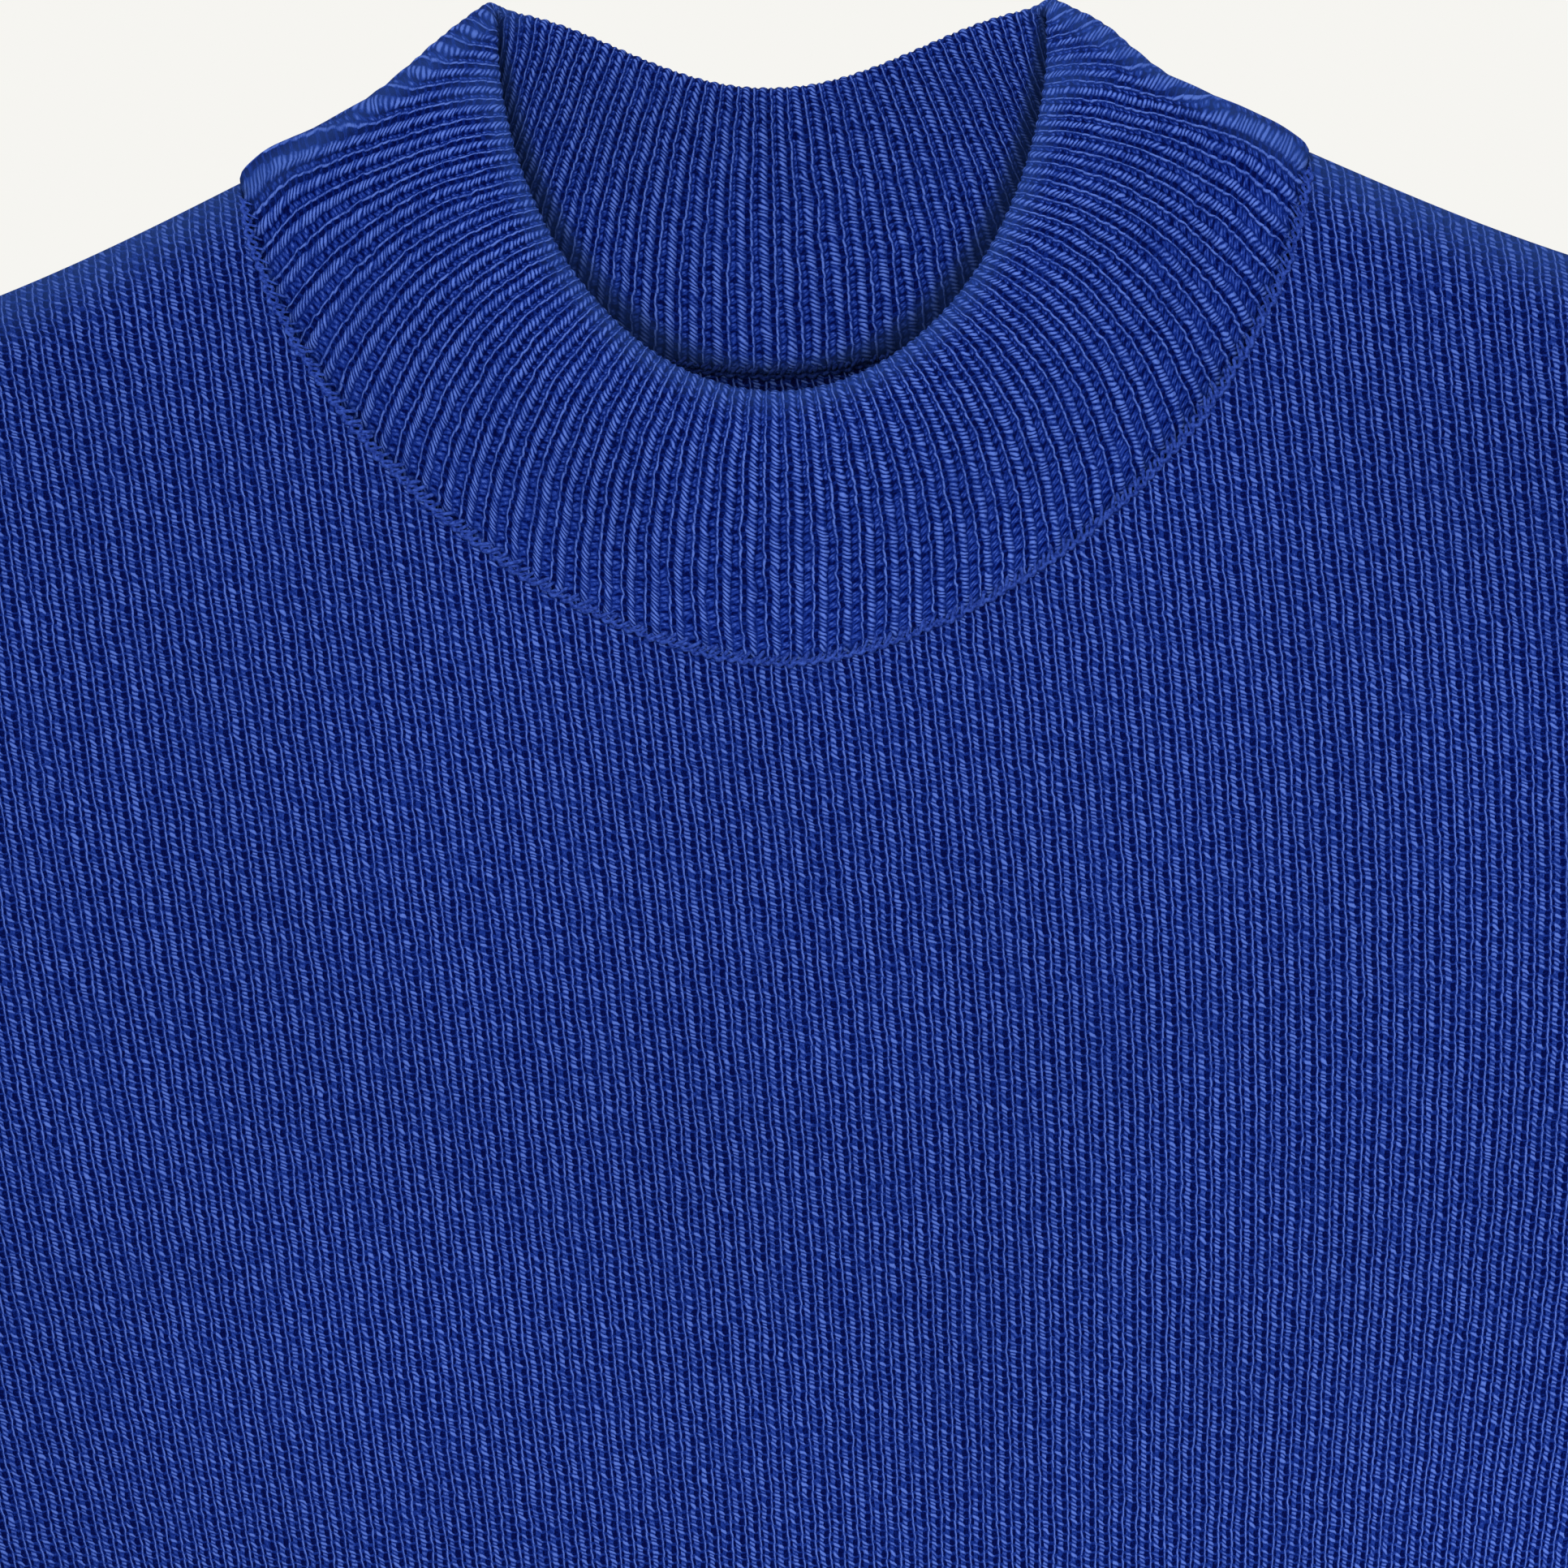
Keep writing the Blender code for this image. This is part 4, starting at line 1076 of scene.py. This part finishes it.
def linked_seam(name, line, height, trim, tone, seed, material):
    """The linking line of a neck seam: two wavy yarns, and strands that slant over them into the ribs."""
    rng = np.random.default_rng(seed)
    reach = line_length(line) - trim
    count = int(2 * reach / LINK_PITCH)
    fine = np.linspace(-reach, reach, 6 * count + 1)
    turns = 2.0 * math.pi * (fine + reach) / LINK_PITCH
    knots = np.linspace(-reach, reach, count)
    paths, radii = [], []
    for out, swing, radius, lag in ((0.60, 0.30, 0.50, 0.0), (-0.20, 0.45, 0.40, 2.2)):
        wander = np.interp(fine, knots, rng.normal(0.0, 0.20 * MM, count))
        place = (out + swing * np.cos(turns + lag)) * MM + wander
        rise = (0.15 + 0.15 * np.sin(turns + lag)) * MM
        paths.append(beside_seam(line, height, fine, place, rise))
        radii.append(radius * MM)
    for k in range(count):
        start = -reach + (k + 0.1) * LINK_PITCH + rng.normal(0.0, 0.22 * MM)
        slant = LINK_PITCH * rng.uniform(0.5, 1.25)
        share = np.linspace(0.0, 1.0, 7)
        distance = np.clip(start + slant * share, -reach, reach)
        out = (0.8 - rng.uniform(2.3, 3.1) * share) * MM
        rise = (0.15 + 0.45 * np.sin(math.pi * share)) * MM
        paths.append(beside_seam(line, height, distance, out, rise))
        # The strands lie closer in beside the neck points.
        outer = smoothstep(0.55, 0.95, abs(start) / reach)
        radii.append(rng.uniform(0.30, 0.44) * (1.0 - 0.40 * outer) * MM)
    return yarn_tube(name, paths, radii, tone, material)


def neck_seams(material):
    """The linking lines of the front and back neck seams."""

    def front(x, y):
        outside = front_height(x, np.minimum(y, -0.5 * MM))
        return outside + 0.25 * MM * smoothstep(0.0, -2.0 * MM, neck_distance(x, y))

    def back(x, y):
        return np.where(y < back_seam_y(x), 2.1 * MM, 3.2 * MM)

    seams = (  # name, line from its centre, surface, what its ends leave free, tone and seed
        ("neck_seam_front", front_seam_line(), front, 4.0 * MM, FRONT_YARN_TONE, 5),
        ("neck_seam_back", back_seam_line()[::-1], back, 14.0 * MM, BACK_YARN_TONE, 6),
    )
    return [linked_seam(*values, material) for values in seams]


# Materials


class Nodes:
    """Adds nodes to a material and joins them up."""

    def __init__(self, tree):
        self.tree = tree

    def put(self, socket, value):
        """Gives a socket a constant, or links a value to it."""
        if isinstance(value, Value):
            self.tree.links.new(value.socket, socket)
        else:
            socket.default_value = value

    def add(self, kind, inputs=(), output=0, **settings):
        """The output of a new node, whose inputs are given by name or number."""
        node = self.tree.nodes.new("ShaderNode" + kind)
        for key, value in settings.items():
            setattr(node, key, value)
        for key, value in dict(inputs).items():
            self.put(node.inputs[key], value)
        return Value(self, node.outputs[output])

    def attribute(self, key):
        return self.add("Attribute", output="Fac", attribute_name=key)

    def vector(self, x, y, z=0.0):
        return self.add("CombineXYZ", enumerate((x, y, z)))

    def random(self, *place):
        """A random value from 0 to 1, its own for each place."""
        inputs = {"Vector": self.vector(*place)}
        return self.add("TexWhiteNoise", inputs, "Value", noise_dimensions="3D")

    def noise(self, vector, scale, detail, seed):
        """Noise over stitch coordinates, from its own place for each seed."""
        inputs = {0: vector, 1: (17.3 * seed, 9.1 * seed, 0.0)}
        moved = self.add("VectorMath", inputs, operation="ADD")
        inputs = {"Scale": scale, "Detail": detail, "Vector": moved}
        return self.add("TexNoise", inputs, "Fac", noise_dimensions="2D")

    def mix(self, factor, low, high):
        """A colour from low to high."""
        node = self.tree.nodes.new("ShaderNodeMix")
        node.data_type = "RGBA"
        self.put(node.inputs["Factor"], factor)
        for name, value in (("A", low), ("B", high)):
            socket = next(s for s in node.inputs if s.name == name and s.type == "RGBA")
            self.put(socket, (*value, 1.0) if isinstance(value, tuple) else value)
        return Value(self, next(s for s in node.outputs if s.type == "RGBA"))


def sums(operation):
    """Two methods that add the math node of a sum: of self and other, and of other and self."""

    def ahead(self, other):
        return self.maths(operation, self, other)

    def turned(self, other):
        return self.maths(operation, other, self)

    return ahead, turned


class Value:
    """A value in a material. Sums with it add math nodes."""

    def __init__(self, nodes, socket):
        self.nodes = nodes
        self.socket = socket

    def maths(self, operation, *values):
        return self.nodes.add("Math", enumerate(values), operation=operation)

    __add__, __radd__ = sums("ADD")
    __sub__, __rsub__ = sums("SUBTRACT")
    __mul__, __rmul__ = sums("MULTIPLY")
    __truediv__ = sums("DIVIDE")[0]
    __mod__ = sums("FLOORED_MODULO")[0]
    __pow__ = sums("POWER")[0]
    at_least = sums("MAXIMUM")[0]
    above = sums("GREATER_THAN")[0]  # 1 where it is more than the other, else 0

    def __abs__(self):
        return self.maths("ABSOLUTE", self)

    def floor(self):
        return self.maths("FLOOR", self)

    def bump(self, centre, half):
        """1 at the centre, falling to 0 at half on both sides, as a parabola."""
        off = (self - centre) / half
        return (1.0 - off * off).at_least(0.0)


def wool(name):
    """A wool material, still without its colour, with its shader and what adds its nodes."""
    material = bpy.data.materials.new(name)
    material.use_nodes = True
    shader = material.node_tree.nodes["Principled BSDF"]
    for key, value in WOOL.items():
        shader.inputs[key].default_value = value
    return material, shader, Nodes(material.node_tree)


def finish_wool(shader, m, colour, tone, height, strength, distance):
    """Gives a wool shader its colour, at this brightness, and its relief."""
    colour = m.add("VectorMath", {0: colour, "Scale": tone}, operation="SCALE")
    relief = m.add("Bump", {"Strength": strength, "Distance": distance, "Height": height})
    m.put(shader.inputs["Base Color"], colour)
    m.put(shader.inputs["Normal"], relief)


def knit_material(name, look, seed):
    """Wool knit, drawn from the mesh's stitch coordinates: u counts columns and v rows. Its colour holds
    painted shade and sheen.
    """
    material, shader, m = wool(name)
    stitches = m.add("UVMap", output="UV", uv_map="stitches")
    u, v = (m.add("SeparateXYZ", {0: stitches}, axis) for axis in (0, 1))
    trough, tone, fuzz_and_painted_light = (m.attribute(key) for key in ("trough", "tone", "fuzz_and_painted_light"))
    flat = m.vector(u, v * ROW_HEIGHT)
    drift = m.noise(flat, 0.42, 1.0, seed) - 0.5
    shake = m.noise(flat, 1.9, 0.0, seed + 2.0) - 0.5
    u = u + (drift * 0.22 + shake * 0.12)
    column = u.floor()
    s = u - column
    # Rows shift column by column, so the strokes keep their slant.
    drift = m.noise(m.vector(column, v * ROW_HEIGHT), 0.5, 1.0, seed + 7.0) - 0.5
    shake = m.noise(flat, 1.7, 0.0, seed + 4.0) - 0.5
    v = v + (drift * 1.1 + shake * 0.30)
    v = v + m.random(column, seed) * 0.35
    q = s / (1.0 - trough)

    # The thin bright line on the left, in short leaning pieces
    piece = v.floor()
    within = v - piece
    lean = (within - 0.5) * 0.05
    line = q.bump(lean + LINE_AT, LINE_HALF)
    line_light = 0.50 + 0.36 * m.random(column, piece, seed)
    line_light = line_light * (0.66 + 0.36 * within.bump(0.5, 0.55))

    # The rope of slanting strokes, two to a row
    rope = q.bump(look["rope_at"], look["rope_half"])
    inside = (q - (look["rope_at"] - look["rope_half"])) / (2.0 * look["rope_half"])
    stroke_at = v * 2.0 - inside * (2.0 * look["slope"])
    stroke_cell = stroke_at.floor()
    stroke = (stroke_at - stroke_cell).bump(0.5, 0.40)
    stroke_light = look["stroke_light"] + 0.62 * m.random(column, stroke_cell, seed + 3.0)
    stroke_light = stroke_light - stroke_cell % 2.0 * look["second_stroke"]
    rope_light = rope**0.5 * stroke * stroke_light

    # Painted shade in the holes: one a row between the rope and the next column, and a notch beside the
    # line
    hole_at = v + 0.30
    hole_cell = hole_at.floor()
    hole_depth = 0.55 + m.random(column, hole_cell, seed + 9.0)
    hole = (hole_at - hole_cell).bump(0.5, 0.40) * s.bump(0.86, 0.21)
    hole = hole * hole_depth * look["holes"]
    notch_at = v + 0.85
    notch = (notch_at - notch_at.floor()).bump(0.5, 0.36) * q.bump(0.31, 0.13)
    notch = notch * look["notches"]

    # The trough on the right, with faint strokes the other way
    trough_at = v * 2.0 + s * 3.0
    trough_stroke = (trough_at - trough_at.floor()).bump(0.5, 0.45)
    across = (s - (1.0 - trough)) / (trough + 0.02)
    trough_stroke = trough_stroke * across.bump(0.45, 0.55)
    trough_light = (0.12 + trough_stroke * 0.88) * q.above(1.0) * look["trough_strokes"]

    light = (line * line_light).at_least(rope_light).at_least(trough_light)
    light = (light + look["base_light"] - hole - notch).at_least(0.0)
    # Here and there the wool's fuzz hides the stitches.
    patch = (m.noise(flat, 0.30, 3.0, seed + 11.0) - 0.48).at_least(0.0) * 0.8
    light = light * (1.0 - patch) + patch * 0.42
    fibre = m.noise(m.vector(u * 9.0, v * 7.0), 1.0, 3.0, seed + 5.0)
    light = light + (fibre - 0.5) * 0.55
    # Loose hairs, along the level line of a smooth noise
    hair = abs(m.noise(flat, 2.6, 1.0, seed + 21.0) - 0.5)
    light = light + (1.0 - hair * 24.0).at_least(0.0) * 0.16

    # The ramp turns the knit's relief into colour: painted shade in its gaps and holes, painted sheen on
    # its crests.
    ramp = m.tree.nodes.new("ShaderNodeValToRGB")
    stops = ((0.03, GAP_SHADE_BLUE), (0.20, DEEP_BLUE), (0.50, MID_BLUE), (0.95, CREST_SHEEN_BLUE))
    while len(ramp.color_ramp.elements) < len(stops):
        ramp.color_ramp.elements.new(0.5)
    for element, (place, colour) in zip(ramp.color_ramp.elements, stops):
        element.position = place
        element.color = (*colour, 1.0)
    m.put(ramp.inputs["Fac"], light)
    # Fuzz and painted sheen, and the paler painted shadow under the rim, mix in the pale blue.
    colour = m.mix(fuzz_and_painted_light, Value(m, ramp.outputs["Color"]), FUZZ_AND_SHEEN_BLUE)
    broad = 0.90 + m.noise(flat, 0.06, 3.0, seed + 17.0) * 0.20
    height = (line * 0.85).at_least(rope * (0.5 + 0.5 * stroke)) + fibre * 0.25
    finish_wool(shader, m, colour, tone * broad, height, 0.6, 0.5 * MM)
    return material


def yarn_material(name):
    """Bare yarn, for the linking line."""
    material, shader, m = wool(name)
    place = m.add("TexCoord", output="Object")
    fibre = m.add("TexNoise", {"Scale": 1500.0, "Detail": 2.0, "Vector": place}, "Fac")
    colour = m.mix((fibre - 0.30) * 1.8, DEEP_BLUE, YARN_BLUE)
    finish_wool(shader, m, colour, m.attribute("tone"), fibre, 0.5, 0.3 * MM)
    return material


# Stage


def stage():
    """A pale floor, soft light from above and the camera at the photograph's angle."""
    scene = bpy.context.scene
    scene.view_settings.view_transform = "Standard"
    floor_mesh = bpy.data.meshes.new("floor")
    corners = [(x * FLOOR_HALF, y * FLOOR_HALF, FLOOR_Z) for x, y in ((-1, -1), (1, -1), (1, 1), (-1, 1))]
    floor_mesh.from_pydata(corners, [], [(0, 1, 2, 3)])
    paper = bpy.data.materials.new("paper")
    paper.use_nodes = True
    shader = paper.node_tree.nodes["Principled BSDF"]
    shader.inputs["Base Color"].default_value = (0.0, 0.0, 0.0, 1.0)
    shader.inputs["Specular IOR Level"].default_value = 0.0
    shader.inputs["Emission Color"].default_value = (*PAPER_WHITE, 1.0)
    shader.inputs["Emission Strength"].default_value = 1.0
    floor_mesh.materials.append(paper)
    floor = placed("floor", floor_mesh)
    floor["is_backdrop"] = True

    world = bpy.data.worlds.new("studio")
    world.use_nodes = True
    world.node_tree.nodes["Background"].inputs["Color"].default_value = (*SKY_WHITE, 1.0)
    world.node_tree.nodes["Background"].inputs["Strength"].default_value = SKY_STRENGTH
    scene.world = world

    for name, place, width, power in LAMPS:
        light = bpy.data.lights.new(name, "AREA")
        light.size = width
        light.energy = power
        lamp = placed(name, light)
        lamp.location = place
        aim = np.array(LAMP_AIM) - np.array(place)
        yaw = math.atan2(aim[0], -aim[1])
        tilt = math.acos(-aim[2] / np.linalg.norm(aim))
        lamp.rotation_euler = (tilt, 0.0, yaw + math.pi)
        lamp.visible_camera = False

    camera_data = bpy.data.cameras.new("camera")
    camera_data.sensor_width = SENSOR
    camera_data.lens = SENSOR * (CAMERA_HEIGHT - LOOKED_AT) / (PIXEL * PHOTO_PIXELS)
    camera_data.clip_start = 0.1
    camera_data.clip_end = 100.0
    camera = placed("camera", camera_data)
    tilt = math.radians(CAMERA_TILT)
    right = np.array([math.cos(tilt), -math.sin(tilt)])
    up = np.array([math.sin(tilt), math.cos(tilt)])
    centre = PHOTO_PIXELS / 2
    place = np.array([0.0, NECK_Y])
    place = place - (NECK_PIXEL[0] - centre) * PIXEL * right
    place = place - (centre - NECK_PIXEL[1]) * PIXEL * up
    camera.location = (place[0], place[1], CAMERA_HEIGHT)
    camera.rotation_euler = (0.0, 0.0, -tilt)
    scene.camera = camera


def dress(piece, node):
    """Puts a cloth piece in its CAD node's place."""
    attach(piece, "root")
    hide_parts(node)


def main():
    """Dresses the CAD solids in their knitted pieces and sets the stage."""
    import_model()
    cad_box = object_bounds()
    plain = knit_material("plain_knit", PLAIN_LOOK, 1.0)
    rib = knit_material("rib_knit", RIB_LOOK, 30.0)
    yarn = yarn_material("linking_yarn")

    seams = neck_seams(yarn)
    for seam in seams:
        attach(seam, "root")
    dress(neckband(rib), "neckband")
    dress(front_panel(plain), "front_panel")
    dress(back_panel(plain), "back_panel")
    seam_y = -BODY_DROP + SEAM_LAP
    corners = (
        (-WAIST_HALF, seam_y),
        (WAIST_HALF, seam_y),
        (-HEM_HALF, -BODY_DROP - HEM_HEIGHT),
        (HEM_HALF, -BODY_DROP - HEM_HEIGHT),
    )
    front_bottom = CLOTH + SEAM_GAP
    hem = rib_slab("hem_rib_front", corners, HEM_RIBS, front_bottom + HEM_THICK, front_bottom, rib)
    dress(hem, "hem_front")
    hem = rib_slab("hem_rib_back", corners, HEM_RIBS, CLOTH, 0.0, rib, fine=4, rows=8)
    dress(hem, "hem_back")
    for side, word in ((1.0, "right"), (-1.0, "left")):
        dress(sleeve(side, plain), "sleeve_" + word)
        dress(cuff(side, rib), "cuff_" + word)
    stage()
    boxes = [[list(corner) for corner in box] for box in (cad_box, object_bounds())]


main()
